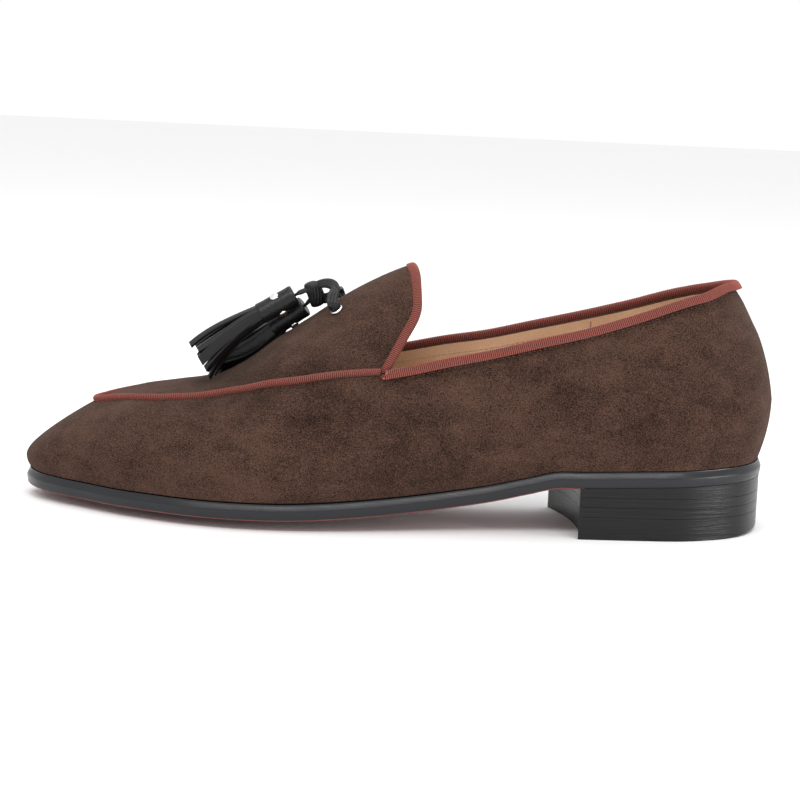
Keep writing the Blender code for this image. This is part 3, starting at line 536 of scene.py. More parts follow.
def sweep(name, rings, loop=False):
    """A closed body through rings of points: back to the first ring, or flat at both ends."""
    points = [point for ring in rings for point in ring]
    size = len(rings[0])
    rows = [[i * size + k for k in range(size)] for i in range(len(rings))]
    faces = [] if loop else [tuple(rows[0]), tuple(rows[-1])]
    following = rows[1:] + (rows[:1] if loop else [])
    for a, b in zip(rows, following):
        faces += band_faces(a, b)
    return close_mesh(name, points, faces)


def round_ways(first, second, count):
    """Even unit ways round an axis, from two that are square to it."""
    turns = [2 * math.pi * i / count for i in range(count)]
    return [first * math.cos(turn) + second * math.sin(turn) for turn in turns]


def ways_round(axis, count):
    first = axis.orthogonal().normalized()
    return round_ways(first, axis.cross(first), count)


TRACK_STEPS = 8


def respaced(tracks, spacing):
    """Tracks of points that run side by side, read again at an even spacing of the first."""
    tracks = np.array([[tuple(point) for point in track] for track in tracks])
    count = tracks.shape[1]
    dense = []
    for i in range(count - 1):
        p1, p2 = tracks[:, i], tracks[:, i + 1]
        p0 = tracks[:, i - 1] if i else 2 * p1 - p2
        p3 = tracks[:, i + 2] if i + 2 < count else 2 * p2 - p1
        for step in range(TRACK_STEPS):
            t = step / TRACK_STEPS
            dense.append(0.5 * (
                2 * p1 + (p2 - p0) * t + (2 * p0 - 5 * p1 + 4 * p2 - p3) * t**2
                + (3 * p1 - p0 - 3 * p2 + p3) * t**3
            ))
    dense.append(tracks[:, -1])
    dense = np.array(dense)
    way = np.concatenate([[0.0], np.cumsum(np.linalg.norm(np.diff(dense[:, 0], axis=0), axis=1))])
    steps = max(2, round(way[-1] / spacing))
    at = np.linspace(0.0, way[-1], steps + 1)
    spots = [
        [np.interp(at, way, dense[:, track, axis]) for axis in range(3)]
        for track in range(len(tracks))
    ]
    return [[Vector(spot) for spot in zip(*track)] for track in spots]


# Soft troughs and ridges of the suede: side, start and end (along, height), half
# width and height in metres; below nought is a trough
CREASES = (
    # by the heel, under the collar
    (OUTER, (0.030, 0.0860), (0.062, 0.0640), 0.0050, -0.00040),
    (OUTER, (0.062, 0.0880), (0.100, 0.0690), 0.0060, 0.00035),
    (OUTER, (0.100, 0.0800), (0.150, 0.0640), 0.0055, -0.00035),
    (OUTER, (0.030, 0.0560), (0.120, 0.0480), 0.0080, -0.00040),
    (OUTER, (0.160, 0.0560), (0.260, 0.0500), 0.0090, 0.00035),
    # the quarter
    (OUTER, (0.220, 0.0700), (0.330, 0.0600), 0.0070, -0.00035),
    (OUTER, (0.330, 0.0440), (0.440, 0.0500), 0.0090, -0.00035),
    (OUTER, (0.430, 0.0600), (0.500, 0.0460), 0.0080, 0.00035),
    # where the foot bends
    (OUTER, (0.560, 0.0500), (0.640, 0.0330), 0.0080, -0.00045),
    (OUTER, (0.640, 0.0480), (0.700, 0.0280), 0.0070, 0.00040),
    (OUTER, (0.700, 0.0400), (0.780, 0.0260), 0.0080, -0.00035),
    # the toe
    (OUTER, (0.820, 0.0320), (0.900, 0.0280), 0.0070, -0.00030),
    (OUTER, (0.880, 0.0220), (0.950, 0.0200), 0.0060, 0.00025),
    # the plug, beside the ridge
    (OUTER, (0.560, 0.0800), (0.620, 0.0720), 0.0050, -0.00030),
    (OUTER, (0.640, 0.0680), (0.720, 0.0560), 0.0060, 0.00030),
    (INNER, (0.580, 0.0780), (0.660, 0.0660), 0.0060, -0.00030),
    # the inner side
    (INNER, (0.040, 0.0840), (0.100, 0.0660), 0.0060, -0.00040),
    (INNER, (0.120, 0.0560), (0.240, 0.0520), 0.0090, 0.00035),
    (INNER, (0.300, 0.0460), (0.420, 0.0520), 0.0090, -0.00040),
    (INNER, (0.560, 0.0500), (0.650, 0.0330), 0.0080, -0.00045),
    (INNER, (0.640, 0.0480), (0.720, 0.0280), 0.0070, 0.00040),
)
CREASE_BOW = 0.16
RIPPLE = 0.00016
RIPPLE_SCALE = 38.0
FINE_RIPPLE_SHARE = 0.4
FINE_RIPPLE_SCALE = 110.0
BACK_SEAM_WIDTH = 0.0007
BACK_SEAM_DEPTH = 0.00035
BACK_SEAM_FRONT = 0.02


def crease_height(point, hold):
    """How far the suede stands off its last at a point; hold fades it out by the seams."""
    side = OUTER if point.y < axis_across(point.x) else INNER
    total = noise.noise(point * RIPPLE_SCALE) * RIPPLE
    total += noise.noise(point * FINE_RIPPLE_SCALE) * RIPPLE * FINE_RIPPLE_SHARE
    for where, start, end, half, height in CREASES:
        if where != side:
            continue
        a = np.array([start[0] * SHOE_LENGTH, start[1]])
        b = np.array([end[0] * SHOE_LENGTH, end[1]])
        spot = np.array([along_at(point.x) * SHOE_LENGTH, point.z])
        run = b - a
        share = min(max(float((spot - a) @ run / (run @ run)), 0.0), 1.0)
        # a gentle bow, so that no crease is a straight line
        bow = np.array([-run[1], run[0]]) * (CREASE_BOW * math.sin(math.pi * share))
        distance = float(np.linalg.norm(spot - (a + run * share + bow)))
        if distance < 3 * half:
            total += height * math.exp(-(distance / half) ** 2)
    total *= hold
    seam = abs(point.y - RIBS[OUTER][0].place(RIBS[OUTER][0].belly_reach, 0.0).y)
    if point.x > BACK_SEAM_FRONT and seam < 3 * BACK_SEAM_WIDTH:
        total -= BACK_SEAM_DEPTH * math.exp(-(seam / BACK_SEAM_WIDTH) ** 2)
    return total


# Rows over which the creases fade out towards a seam
FADE_ROWS = 5


def upper_sheet():
    """The upper's outer face: walls all round, and the plug with the tongue on top."""
    points = []
    holds = []
    faces = []
    rows = FOOT_ROWS + WALL_ROWS
    for rib in RING:
        points += [rib.foot_point(i / FOOT_ROWS) for i in range(FOOT_ROWS)]
        points += [rib.wall_point(rib.rim * i / WALL_ROWS) for i in range(WALL_ROWS + 1)]
        holds += [min(i / FOOT_ROWS, 1.0) for i in range(FOOT_ROWS)]
        holds += [min((WALL_ROWS - i) / FADE_ROWS, 1.0) for i in range(WALL_ROWS + 1)]
    stride = rows + 1
    for i in range(len(RING)):
        j = (i + 1) % len(RING)
        for k in range(rows):
            faces.append((i * stride + k, j * stride + k, j * stride + k + 1, i * stride + k + 1))
    rim_of = {OUTER: {}, INNER: {}}
    for i in range(RIB_COUNT):
        rim_of[OUTER][i] = i * stride + rows
        rim_of[INNER][i] = ((len(RING) - i) % len(RING)) * stride + rows
    toe = RIB_COUNT - 1
    pivot = RIB_COUNT - 1 - TOE_FAN
    ridge = {}
    for i in range(THROAT_RIB, pivot + 1):
        ridge[i] = len(points)
        points.append(plug_point(OUTER, RIBS[OUTER][i], 1.0))
        holds.append(min((i - THROAT_RIB) / FADE_ROWS, 1.0))
    for i in range(pivot + 1, toe + 1):
        ridge[i] = ridge[pivot]
    for side in (OUTER, INNER):
        columns = {}
        for i in range(THROAT_RIB, toe + 1):
            if side == INNER and i == toe:
                columns[i] = toe_column
                continue
            columns[i] = [rim_of[side][i]]
            for k in range(1, PLUG_ROWS):
                columns[i].append(len(points))
                points.append(plug_point(side, RIBS[side][i], k / PLUG_ROWS))
                holds.append(min(k / FADE_ROWS, 1.0, (i - THROAT_RIB) / FADE_ROWS))
            columns[i].append(ridge[i])
        toe_column = columns[toe]
        for i in range(THROAT_RIB, toe):
            for k in range(PLUG_ROWS):
                face = [columns[i][k], columns[i + 1][k], columns[i + 1][k + 1], columns[i][k + 1]]
                face = list(dict.fromkeys(face))
                faces.append(tuple(face if side == OUTER else face[::-1]))
    return points, holds, faces


HOLE_SIDES = 32


def build_upper(suede, lining):
    """The upper: its outer face with creases, thickened inwards, with a hole at each eyelet."""
    points, holds, faces = upper_sheet()
    mesh = mesh_from("shoe_upper", points, faces)
    shape = bmesh.new()
    shape.from_mesh(mesh)
    bmesh.ops.recalc_face_normals(shape, faces=shape.faces)
    centre = Vector((0.0, 0.0, TOP_HEIGHT / 2))
    outward = sum(
        face.calc_area() * face.normal.dot(face.calc_center_median() - centre)
        for face in shape.faces
    )
    if outward < 0:
        bmesh.ops.reverse_faces(shape, faces=shape.faces)
    shape.normal_update()
    shape.verts.ensure_lookup_table()
    moves = [vert.normal * crease_height(vert.co, holds[vert.index]) for vert in shape.verts]
    for vert, move in zip(shape.verts, moves):
        vert.co += move
    shape.to_mesh(mesh)
    shape.free()
    upper = add_object("shoe_upper", mesh, (suede, lining))
    wall = upper.modifiers.new("wall", "SOLIDIFY")
    wall.thickness = WALL
    wall.offset = -1.0
    wall.use_even_offset = True
    wall.use_quality_normals = True
    wall.material_offset = 1
    cutters = []
    for side in (OUTER, INNER):
        point, normal = surface_frame(side, *EYELETS[side])
        rings = [
            [point + way * (EYELET_BARREL + GAP) + normal * depth
             for way in ways_round(normal, HOLE_SIDES)]
            for depth in (-3 * WALL, 2 * WALL)
        ]
        name = "hole_" + SIDE_NAMES[side]
        cutter = add_object(name, sweep(name, rings), (suede,))
        cut = upper.modifiers.new("eyelet hole", "BOOLEAN")
        cut.operation = "DIFFERENCE"
        cut.solver = "EXACT"
        cut.object = cutter
        cutters.append(cutter)
    settle(upper)
    for cutter in cutters:
        bpy.data.objects.remove(cutter, do_unlink=True)
    upper.data.shade_smooth()
    upper.data.set_sharp_from_angle(angle=math.radians(50))
    hand_over(upper, "suede", "upper")


# How late the hollow of the sole gives way to its edge
SOLE_HOLLOW = 2.4


def sole_height(rib, share, x):
    """Bottom of the outsole at a share of the way out from the axis."""
    along = along_at(x)
    middle = smooth_curve(BOTTOM, 3, along) * SEAT_HEIGHT
    edge = side_value(BOTTOM, along, rib.side) * SEAT_HEIGHT
    return middle + (edge - middle) * share ** SOLE_HOLLOW


def layer_points(reach_of, lift, shares, clamp):
    """Rings of points across the shoe, from an outline in to the axis."""
    def raised(rib, reach):
        spot = rib.place(reach, 0.0)
        height = sole_height(rib, reach / rib.sole_reach, spot.x)
        return Vector((spot.x, spot.y, (max(height, 0.0) if clamp else height) + lift))

    points = []
    rows = []
    for share in shares:
        rows.append(list(range(len(points), len(points) + len(RING))))
        points += [raised(rib, reach_of(rib) * share) for rib in RING]
    toe_pivot = RIB_COUNT - 1 - TOE_FAN
    axis = {}
    for i in range(HEEL_FAN, toe_pivot + 1):
        axis[i] = len(points)
        points.append(raised(RIBS[OUTER][i], 0.0))
    last = []
    for i in range(len(RING)):
        station = i if i < RIB_COUNT else len(RING) - i
        last.append(axis[min(max(station, HEEL_FAN), toe_pivot)])
    rows.append(last)
    return points, rows


def slab(name, reach_of, bottom_lift, top_lift, edge_rows, clamp):
    """A sole-like body: bottom rings, edge rings given by (inset, height) rows, top rings."""
    shares = (1.0, *SOLE_SHARES)
    points, bottom = layer_points(reach_of, bottom_lift, shares, clamp)
    top_points, top = layer_points(reach_of, top_lift, shares, False)
    offset = len(points)
    points = points + top_points
    top = [[index + offset for index in row] for row in top]
    side = [bottom[0]]
    for bulge, share in edge_rows:
        side.append(list(range(len(points), len(points) + len(RING))))
        for i, rib in enumerate(RING):
            low = points[bottom[0][i]].z
            high = points[top[0][i]].z
            points.append(rib.place(reach_of(rib) + bulge, low + (high - low) * share))
    side.append(top[0])
    faces = []
    for rows in (bottom, top, side):
        for a, b in zip(rows, rows[1:]):
            faces += band_faces(a, b)
    return close_mesh(name, points, faces)


# The outsole's edge from below: how far it stands out of the tuck, and its height
SOLE_EDGE_TUCK = 0.0012
SOLE_EDGE = (
    (0.00040, 0.03), (0.00070, 0.08), (0.00088, 0.14), (0.00099, 0.22), (0.00107, 0.32),
    (0.00113, 0.42), (0.00118, 0.50), (0.00120, 0.56), (0.00116, 0.60), (0.00100, 0.66),
    (0.00076, 0.74), (0.00050, 0.82), (0.00022, 0.90), (0.00002, 0.96),
)


# Faces of the outsole ahead of the heel that look down more than this are its stained underside
UNDER_FACING = -0.45
UNDER_END = HEEL_BACK - HEEL_LENGTH + 0.002


def build_outsole(edge, under):
    """The outsole, with a black edge and a stained underside."""
    mesh = slab(
        "sole_outsole", lambda rib: rib.sole_reach - SOLE_EDGE_TUCK, 0.0, SOLE_THICKNESS,
        SOLE_EDGE, True,
    )
    outsole = add_object("sole_outsole", mesh, (edge, under), math.radians(50))
    for face in mesh.polygons:
        if face.normal.z < UNDER_FACING and face.center.x < UNDER_END:
            face.material_index = 1
    hand_over(outsole, "edge_black", "outsole")


# Faces of the insole that look up less than this are its black edge
SOCK_FACING = 0.6


def build_insole(leather, edge):
    """The sock-lined insole; its edge is stained like the outsole's."""
    def reach(rib):
        return rib.foot_reach - WALL - INSOLE_PLAY

    lift = SOLE_THICKNESS + GAP
    mesh = slab("inner_sole", reach, lift, lift + INSOLE_THICKNESS, (), False)
    for face in mesh.polygons:
        if face.normal.z < SOCK_FACING:
            face.material_index = 1
    hand_over(add_object("inner_sole", mesh, (leather, edge)), "lining", "insole")


HEEL_INSET = 0.0005
HEEL_SIDE_STEPS = 52
BREAST_STEPS = 24


def drawn_in(ring, amount, closed):
    """A flat line of points moved towards its middle."""
    count = len(ring)
    centre = np.mean(ring, axis=0)
    moved = []
    for i, spot in enumerate(ring):
        before = ring[i - 1] if closed else ring[max(i - 1, 0)]
        after = ring[(i + 1) % count] if closed else ring[min(i + 1, count - 1)]
        run = (after - before) / np.linalg.norm(after - before)
        normal = np.array([-run[1], run[0]])
        if normal @ (centre - spot) < 0:
            normal = -normal
        moved.append(spot + normal * amount)
    return moved


def heel_outline():
    """The heel from above: round the back from the outer breast corner to the inner one."""
    outer_x = HEEL_BACK - HEEL_LENGTH
    runs = []
    for side, corner_x in ((OUTER, outer_x), (INNER, outer_x - BREAST_TURN)):
        part = [spot for spot in EDGE[side] if spot[0] > corner_x]
        part.append(np.array([corner_x, edge_across(corner_x, side)]))
        runs.append([np.array(spot) for spot in even_points(np.array(part), HEEL_SIDE_STEPS)])
    inset = drawn_in(runs[0][::-1] + runs[1][1:], HEEL_INSET, False)
    start, end = inset[-1], inset[0]
    for i in range(1, BREAST_STEPS):
        share = i / BREAST_STEPS
        hollow = BREAST_HOLLOW * 4 * share * (1 - share)
        inset.append(start + (end - start) * share + np.array([hollow, 0.0]))
    return inset


def seat_plane(x):
    """Bottom of the outsole over the heel, which is flat there."""
    return smooth_curve(BOTTOM, 3, along_at(x)) * SEAT_HEIGHT


LIFT_BEVEL = 0.00007
LIFT_SEAM = 0.00003


def build_heel(stack):
    """Two lifts and the wedge under the seat, each with its edges eased."""
    ring = heel_outline()
    eased = drawn_in(ring, LIFT_BEVEL, True)
    for i in range(LIFTS + 1):
        wedge = i == LIFTS
        lows = [TOP_LIFT + LIFT * i + LIFT_SEAM] * len(ring)
        highs = [TOP_LIFT + LIFT * (i + 1) - LIFT_SEAM] * len(ring)
        if wedge:
            highs = [seat_plane(spot[0]) + GAP for spot in ring]
        rows = []
        for edge, heights, ease in (
            (eased, lows, 0.0), (ring, lows, LIFT_BEVEL),
            (ring, highs, -LIFT_BEVEL), (eased, highs, 0.0),
        ):
            rows.append([Vector((*spot, height + ease)) for spot, height in zip(edge, heights)])
        name = "heel_wedge_lift" if wedge else "heel_lift_" + str(i + 1)
        mesh = sweep("stack_" + name, rows)
        thing = add_object("stack_" + name, mesh, (stack,), math.radians(30))
        hand_over(thing, "edge_black", name)


HEEL_BEVEL_CURVE = 1.5


def build_top_lift(stack):
    """The lift on the floor, with its back edge bevelled up."""
    ring = heel_outline()
    count = len(ring)
    bevel_x = HEEL_BACK - HEEL_BEVEL_LENGTH
    top = TOP_LIFT - LIFT_SEAM
    points = [Vector((*spot, top)) for spot in drawn_in(ring, LIFT_BEVEL, True)]
    points += [Vector((*spot, top - LIFT_BEVEL)) for spot in ring]
    side = []
    flat = []
    for spot in ring:
        past = max(spot[0] - bevel_x, 0.0) / HEEL_BEVEL_LENGTH
        side.append(len(points))
        points.append(Vector((*spot, HEEL_BEVEL_RISE * past ** HEEL_BEVEL_CURVE)))
        if past > 0.0:
            flat.append(len(points))
            points.append(Vector((bevel_x, spot[1], 0.0)))
        else:
            flat.append(side[-1])
    rows = (list(range(count)), list(range(count, 2 * count)), side, flat)
    faces = [tuple(rows[0]), tuple(dict.fromkeys(flat))]
    for a, b in zip(rows, rows[1:]):
        faces += band_faces(a, b)
    mesh = close_mesh("stack_top_lift", points, faces)
    thing = add_object("stack_top_lift", mesh, (stack,), math.radians(30))
    hand_over(thing, "edge_black", "heel_top_lift")


def store_run(mesh, size, step):
    """Keep at each point how far along the piece its ring lies."""
    run = mesh.attributes.new("run", "FLOAT", "POINT")
    run.data.foreach_set("value", [(i // size) * step for i in range(len(mesh.vertices))])


RIB_PITCH = 0.00078
RIB_DEPTH = 0.00036
RINGS_PER_RIB = 4
# A binding's roll: how far its edges lap over the wall outside and inside, how round it is
LAP_OUTSIDE = 0.00027
LAP_INSIDE = 0.0009
BEAD_STEPS = 12
BEAD_FLANK = 0.7
BEAD_CROWN = 0.55
BEAD_TOP = BINDING_HEIGHT * 0.96
# How the collar's binding is laid in over the back of the heel
BACK_REACH = 0.030
BACK_TILT = 0.15
BACK_INSET = 0.0006


def bead_section():
    """Section of a binding: a rounded roll over the wall's edge, as (off its face, above it)."""
    middle = -WALL / 2
    half = WALL / 2 + BINDING_PROUD
    section = [(middle + half * 0.90, -LAP_OUTSIDE)]
    for i in range(BEAD_STEPS + 1):
        angle = math.pi * i / BEAD_STEPS
        bow = math.copysign(abs(math.cos(angle)) ** BEAD_FLANK, math.cos(angle))
        rise = max(math.sin(angle), 0.0) ** BEAD_CROWN
        section.append((middle + half * bow, GAP + (BEAD_TOP - GAP) * rise))
    section.append((middle - half * 0.96, -LAP_INSIDE))
    return section


def way_at(track, i):
    """The way in which a track of points runs at one of them."""
    return (track[min(i + 1, len(track) - 1)] - track[max(i - 1, 0)]).normalized()


def bead_rings(tops, lows):
    """Rings of a binding over a rim, from its points and the ones below them."""
    section = bead_section()
    rings = []
    for i, (top, low) in enumerate(zip(tops, lows)):
        along = way_at(tops, i)
        back = min(max((top.x - HEEL_BACK + BACK_REACH) / BACK_REACH, 0.0), 1.0) ** 2
        off = (top - low).normalized() + Vector((0.0, 0.0, BACK_TILT * back))
        off = (off - along * off.dot(along)).normalized()
        normal = off.cross(along)
        base = top - normal * (BACK_INSET * back)
        rings.append([base + normal * n + off * u * (1 - BACK_TILT * back) for n, u in section])
    return rings


def cut_back(tracks, stop):
    """Take a length off both ends of tracks that run side by side."""
    step = (tracks[0][0] - tracks[0][1]).length
    skip = int(stop // step)
    tracks = [track[skip: len(track) - skip] for track in tracks]
    for at, beside in ((0, 1), (-1, -2)):
        share = (stop - skip * step) / (tracks[0][at] - tracks[0][beside]).length
        for track in tracks:
            track[at] = track[at] + (track[beside] - track[at]) * share
    return tracks


def ribbed(name, rings, material, ribs, node):
    """Hand over a ribbon swept through rings, with ribs across it."""
    mesh = sweep(name, rings)
    store_run(mesh, len(rings[0]), RIB_PITCH / RINGS_PER_RIB)
    thing = add_object(name, mesh, (material,), math.radians(70))
    run_tree(thing, ribs, {"Pitch": RIB_PITCH, "Depth": RIB_DEPTH, "Material": material})
    hand_over(thing, "grosgrain", node)


# The line below the collar's rim, as a share of the angle down to the belly
BELOW_RIM = 1 / 9


def build_collar_binding(material, ribs):
    """The binding from the outer throat corner round the heel to the inner one."""
    lines = []
    for share in (1, 1 - BELOW_RIM):
        outer, inner = (
            [rib.wall_point(rib.rim_angle() * share) for rib in RIBS[side][: THROAT_RIB + 1]]
            for side in (OUTER, INNER)
        )
        lines.append(outer[::-1] + inner[1:])
    tracks = respaced(cut_back(lines, COLLAR_STOP), RIB_PITCH / RINGS_PER_RIB)
    ribbed("collar_ribbon", bead_rings(*tracks), material, ribs, "collar_binding")


def build_tongue_binding(material, ribs):
    """The binding from one throat corner over the tongue to the other."""
    lines = []
    for ahead in (0, 2):
        outer, inner = (
            [plug_point(side, RIBS[side][THROAT_RIB + ahead], k / PLUG_ROWS)
             for k in range(PLUG_ROWS + 1)]
            for side in (OUTER, INNER)
        )
        lines.append(outer + inner[-2::-1])
    tracks = respaced(cut_back(lines, TONGUE_STOP), RIB_PITCH / RINGS_PER_RIB)
    ribbed("tongue_ribbon", bead_rings(*tracks), material, ribs, "tongue_binding")


def piping_tracks():
    """The apron seam with the lines just below and just above it."""
    seams = ([], [], [])
    for side in (OUTER, INNER):
        runs = ([], [], [])
        for rib in RIBS[side][THROAT_RIB:]:
            rim = rib.rim_angle()
            runs[0].append(rib.wall_point(rim))
            runs[1].append(rib.wall_point(rim * (1 - 1 / 12)))
            runs[2].append(plug_point(side, rib, 1 / 10))
        for seam, run in zip(seams, runs):
            seam.append(run)
    return [seam[0] + seam[1][-2::-1] for seam in seams]


# The piping's section, and how much deeper its inner half lies towards the toe
PIPING_STEPS = 10
PIPING_BED = 0.0005
PIPING_FOOT = 0.0006
PIPING_FLANK = 0.75
PIPING_BASE_SHARE = 0.9
PIPING_DEEPER = 0.0005
DEEPER_START = -0.150
DEEPER_EASE = 0.02
DEEPER_TURN = 30


def build_piping(material, ribs):
    """The piping along the apron seam, from throat to toe and back."""
    tracks = respaced(cut_back(piping_tracks(), PIPING_STOP), RIB_PITCH / RINGS_PER_RIB)
    half = PIPING_WIDTH / 2
    last = len(tracks[0]) - 1
    rings = []
    for i, (point, below, above) in enumerate(zip(*tracks)):
        along = way_at(tracks[0], i)
        down = (below - point).normalized()
        up = (above - point).normalized()
        across = up - down
        across = (across - along * across.dot(along)).normalized()
        normal = across.cross(along)
        if normal.z < 0:
            normal = -normal
        deep = min(max((i / last - 0.5) * DEEPER_TURN, 0.0), 1.0)
        deep *= min(max((DEEPER_START - point.x) / DEEPER_EASE, 0.0), 1.0)
        base = point - normal * (PIPING_BED + PIPING_DEEPER * deep)
        foot = half * PIPING_BASE_SHARE
        ring = [base + down * foot, base, base + up * foot]
        for k in range(PIPING_STEPS + 1):
            angle = math.pi * k / PIPING_STEPS
            reach = math.cos(angle)
            way = up if reach > 0 else down
            swell = 0.10 + 0.90 * max(math.sin(angle), 0.0) ** PIPING_FLANK
            lift = PIPING_FOOT + PIPING_HEIGHT * swell
            ring.append(base + way * abs(reach) * half + normal * lift)
        rings.append(ring)
    ribbed("apron_ribbon", rings, material, ribs, "apron_piping")


EYELET_SIDES = 48
EYELET_DOME = 0.0006
EYELET_DOME_STEPS = 12


def build_eyelets(silver):
    """Two eyelets: a barrel through the wall, and a domed flange round it."""
    for side in (OUTER, INNER):
        point, normal = surface_frame(side, *EYELETS[side])
        lift = GAP * 1.3
        inside = -WALL - GAP
        profile = [(EYELET_BORE, inside), (EYELET_BARREL, inside), (EYELET_BARREL, lift)]
        middle = (EYELET_FLANGE + EYELET_BORE) / 2
        for i in range(EYELET_DOME_STEPS + 1):
            angle = math.pi * i / EYELET_DOME_STEPS
            reach = math.cos(angle) * (EYELET_FLANGE - EYELET_BORE) / 2
            profile.append((middle + reach, lift + EYELET_DOME * math.sin(angle)))
        rings = [
            [point + way * r + normal * h for r, h in profile]
            for way in ways_round(normal, EYELET_SIDES)
        ]
        name = "eyelet_" + SIDE_NAMES[side]
        mesh = sweep("metal_" + name, rings, True)
        hand_over(add_object("metal_" + name, mesh, (silver,)), "silver", name)


# Which way the thong's width lies at each point of its route: roots, middle and end
THONG_TURNS = {
    OUTER: ((1.0, 0.1, 0.0), (1.0, 0.2, 0.0), (0.9, 0.5, 0.0), (0.5, 0.8, 0.3), (0.2, 0.6, 0.8),
            (0.1, 0.5, 0.8), (0.1, 0.6, 0.7), (0.1, 0.7, 0.6), (0.2, 0.6, 0.7), (0.2, 0.5, 0.8),
            (0.2, 0.4, 0.9)),
    INNER: ((1.0, 0.0, 0.0), (1.0, 0.0, 0.0), (0.9, 0.1, 0.2), (0.8, 0.2, 0.4), (0.6, 0.3, 0.6),
            (0.5, 0.3, 0.7), (0.4, 0.3, 0.8), (0.3, 0.3, 0.8), (0.2, 0.4, 0.8), (0.2, 0.4, 0.8),
            (0.2, 0.4, 0.8)),
}
THONG_STEPS = 16
THONG_GROOVES = 4
THONG_GROOVE_DEPTH = 0.20
# How wide the thong is, of THONG_WIDTH: from its eyelet on, in the knot, past it and at the cap
ROOT_WIDTHS = (0.90, 1.12, 1.08, 1.0, 1.0, 1.0, 1.0)
MIDDLE_WIDTH = 0.7
END_WIDTHS = (0.5, 0.5, 0.26, 0.26)
NARROW_WIDTH = 0.6
NARROW_THICKNESS = 0.8
THONG_STEP = 0.00035
ENTRY = 0.0024
# Points of the route, from the cap back, that follow a tassel laid over
FOLLOWERS = 6


def thong_section(half, thick):
    """A flat thong's section, with grooves along both faces."""
    face = []
    for i in range(THONG_STEPS + 1):
        share = -1 + 2 * i / THONG_STEPS
        round_off = (1 - abs(share) ** 5) ** 0.5
        wave = abs(math.sin(math.pi * THONG_GROOVES * i / THONG_STEPS)) ** 0.7
        groove = 1 - THONG_GROOVE_DEPTH * wave
        face.append((half * share, thick / 2 * round_off * groove))
    back = [(across, -height) for across, height in face[-2:0:-1]]
    return face + back


def build_thong(side, leather):
    """One end of the lace: out of its eyelet, through the knot and into its tassel's cap."""
    name = SIDE_NAMES[side]
    eyelet, normal = surface_frame(side, *EYELETS[side])
    route = [Vector(p) for p in (*LACE_ROOTS[side], *LACE_MIDDLES[side], *LACE_ENDS[side])]
    route[0] = eyelet - normal * ENTRY
    top, way = Vector(TASSELS[side][0]), Vector(TASSELS[side][1]).normalized()
    route.append(top + way * ENTRY)
    for i in range(FOLLOWERS):
        route[-1 - i] = route[-1 - i] + REST[side] * (1 - i / FOLLOWERS)
    turns = [Vector(turn).normalized() for turn in THONG_TURNS[side]]
    turns.append(turns[-1])
    sizes = []
    for share in (*ROOT_WIDTHS, MIDDLE_WIDTH, *END_WIDTHS):
        sizes.append(Vector((share, 1.0 if share > NARROW_WIDTH else NARROW_THICKNESS, 0.0)))
    route, turns, sizes = respaced((route, turns, sizes), THONG_STEP)
    rings = []
    for i, (spot, turn, size) in enumerate(zip(route, turns, sizes)):
        along = way_at(route, i)
        across = (turn - along * turn.dot(along)).normalized()
        off = along.cross(across)
        section = thong_section(THONG_WIDTH / 2 * size.x, THONG_THICKNESS * size.y)
        rings.append([spot + across * a + off * b for a, b in section])
    thing = add_object("thong_" + name, sweep("thong_" + name, rings), (leather,))
    hand_over(thing, "black_leather", "lace_root_" + name, "lace_end_" + name)
    length = sum((b - a).length for a, b in zip(route, route[1:]))
    pieces = ["tassel_" + name + "_leather_cap", "tassel_" + name + "_strips", "rivets_" + name]
    if side == OUTER:
        pieces.append("knot_band")
    return thing, route, length, pieces


KNOT_HALF_WIDTH = 0.0034
KNOT_HALF_DEPTH = 0.0026
KNOT_ROWS = 30
KNOT_SIDES = 84
KNOT_GROOVES = 7
KNOT_GROOVE_DEPTH = 0.15
KNOT_TWIST = 0.55
# How far the middle of the knot bulges sideways and outwards
KNOT_BULGE = (0.0007, 0.0004)
OUTWARD = Vector((0.0, -1.0, 0.0))


def ways_across(axis):
    """Two ways square to an axis: the first towards the outer side."""
    first = (OUTWARD - axis * OUTWARD.dot(axis)).normalized()
    return first, axis.cross(first)


def build_knot(leather):
    """The band wound round both ends, with grooves along it and rolled edges."""
    centre, axis = Vector(KNOT_CENTRE), Vector(KNOT_AXIS).normalized()
    depth, width = ways_across(axis)
    rings = []
    for i in range(KNOT_ROWS + 1):
        share = -1 + 2 * i / KNOT_ROWS
        swell = 0.50 + 0.50 * (1 - abs(share) ** 4) ** 0.5
        bulge = (width * KNOT_BULGE[0] + depth * KNOT_BULGE[1]) * (1 - share**2)
        spot = centre + bulge + axis * (KNOT_LENGTH / 2 * share)
        ring = []
        for k in range(KNOT_SIDES):
            angle = 2 * math.pi * k / KNOT_SIDES
            wave = abs(math.sin(KNOT_GROOVES * (angle + KNOT_TWIST * share))) ** 0.45
            reach = swell * (1 - KNOT_GROOVE_DEPTH * (1 - wave))
            ring.append(
                spot + width * (KNOT_HALF_WIDTH * reach * math.cos(angle))
                + depth * (KNOT_HALF_DEPTH * reach * math.sin(angle))
            )
        rings.append(ring)
    thing = add_object("knot_band", sweep("knot_band", rings), (leather,))
    hand_over(thing, "black_leather", "lace_knot")


def tassel_frame(side):
    """A tassel's top, its axis, the bend of its fringe, the fan, and two ways across it."""
    top, way, tips, fan = TASSELS[side]
    top, axis = Vector(top), Vector(way).normalized()
    bend = Vector(tips) - top - axis * (CAP_LENGTH + FRINGE_LENGTH)
    return top + REST[side], axis, bend, fan, *ways_across(axis)


CAP_SIDES = 96
CAP_ROWS = 36
CAP_BEND_STEPS = 6
CAP_OVERLAP_TURN = 5.5
CAP_LEAF = 0.00035
CAP_HOLE = 0.0009
CAP_SHOULDER = 0.0011
CAP_WAIST = 0.025
CAP_WAVE = 0.012


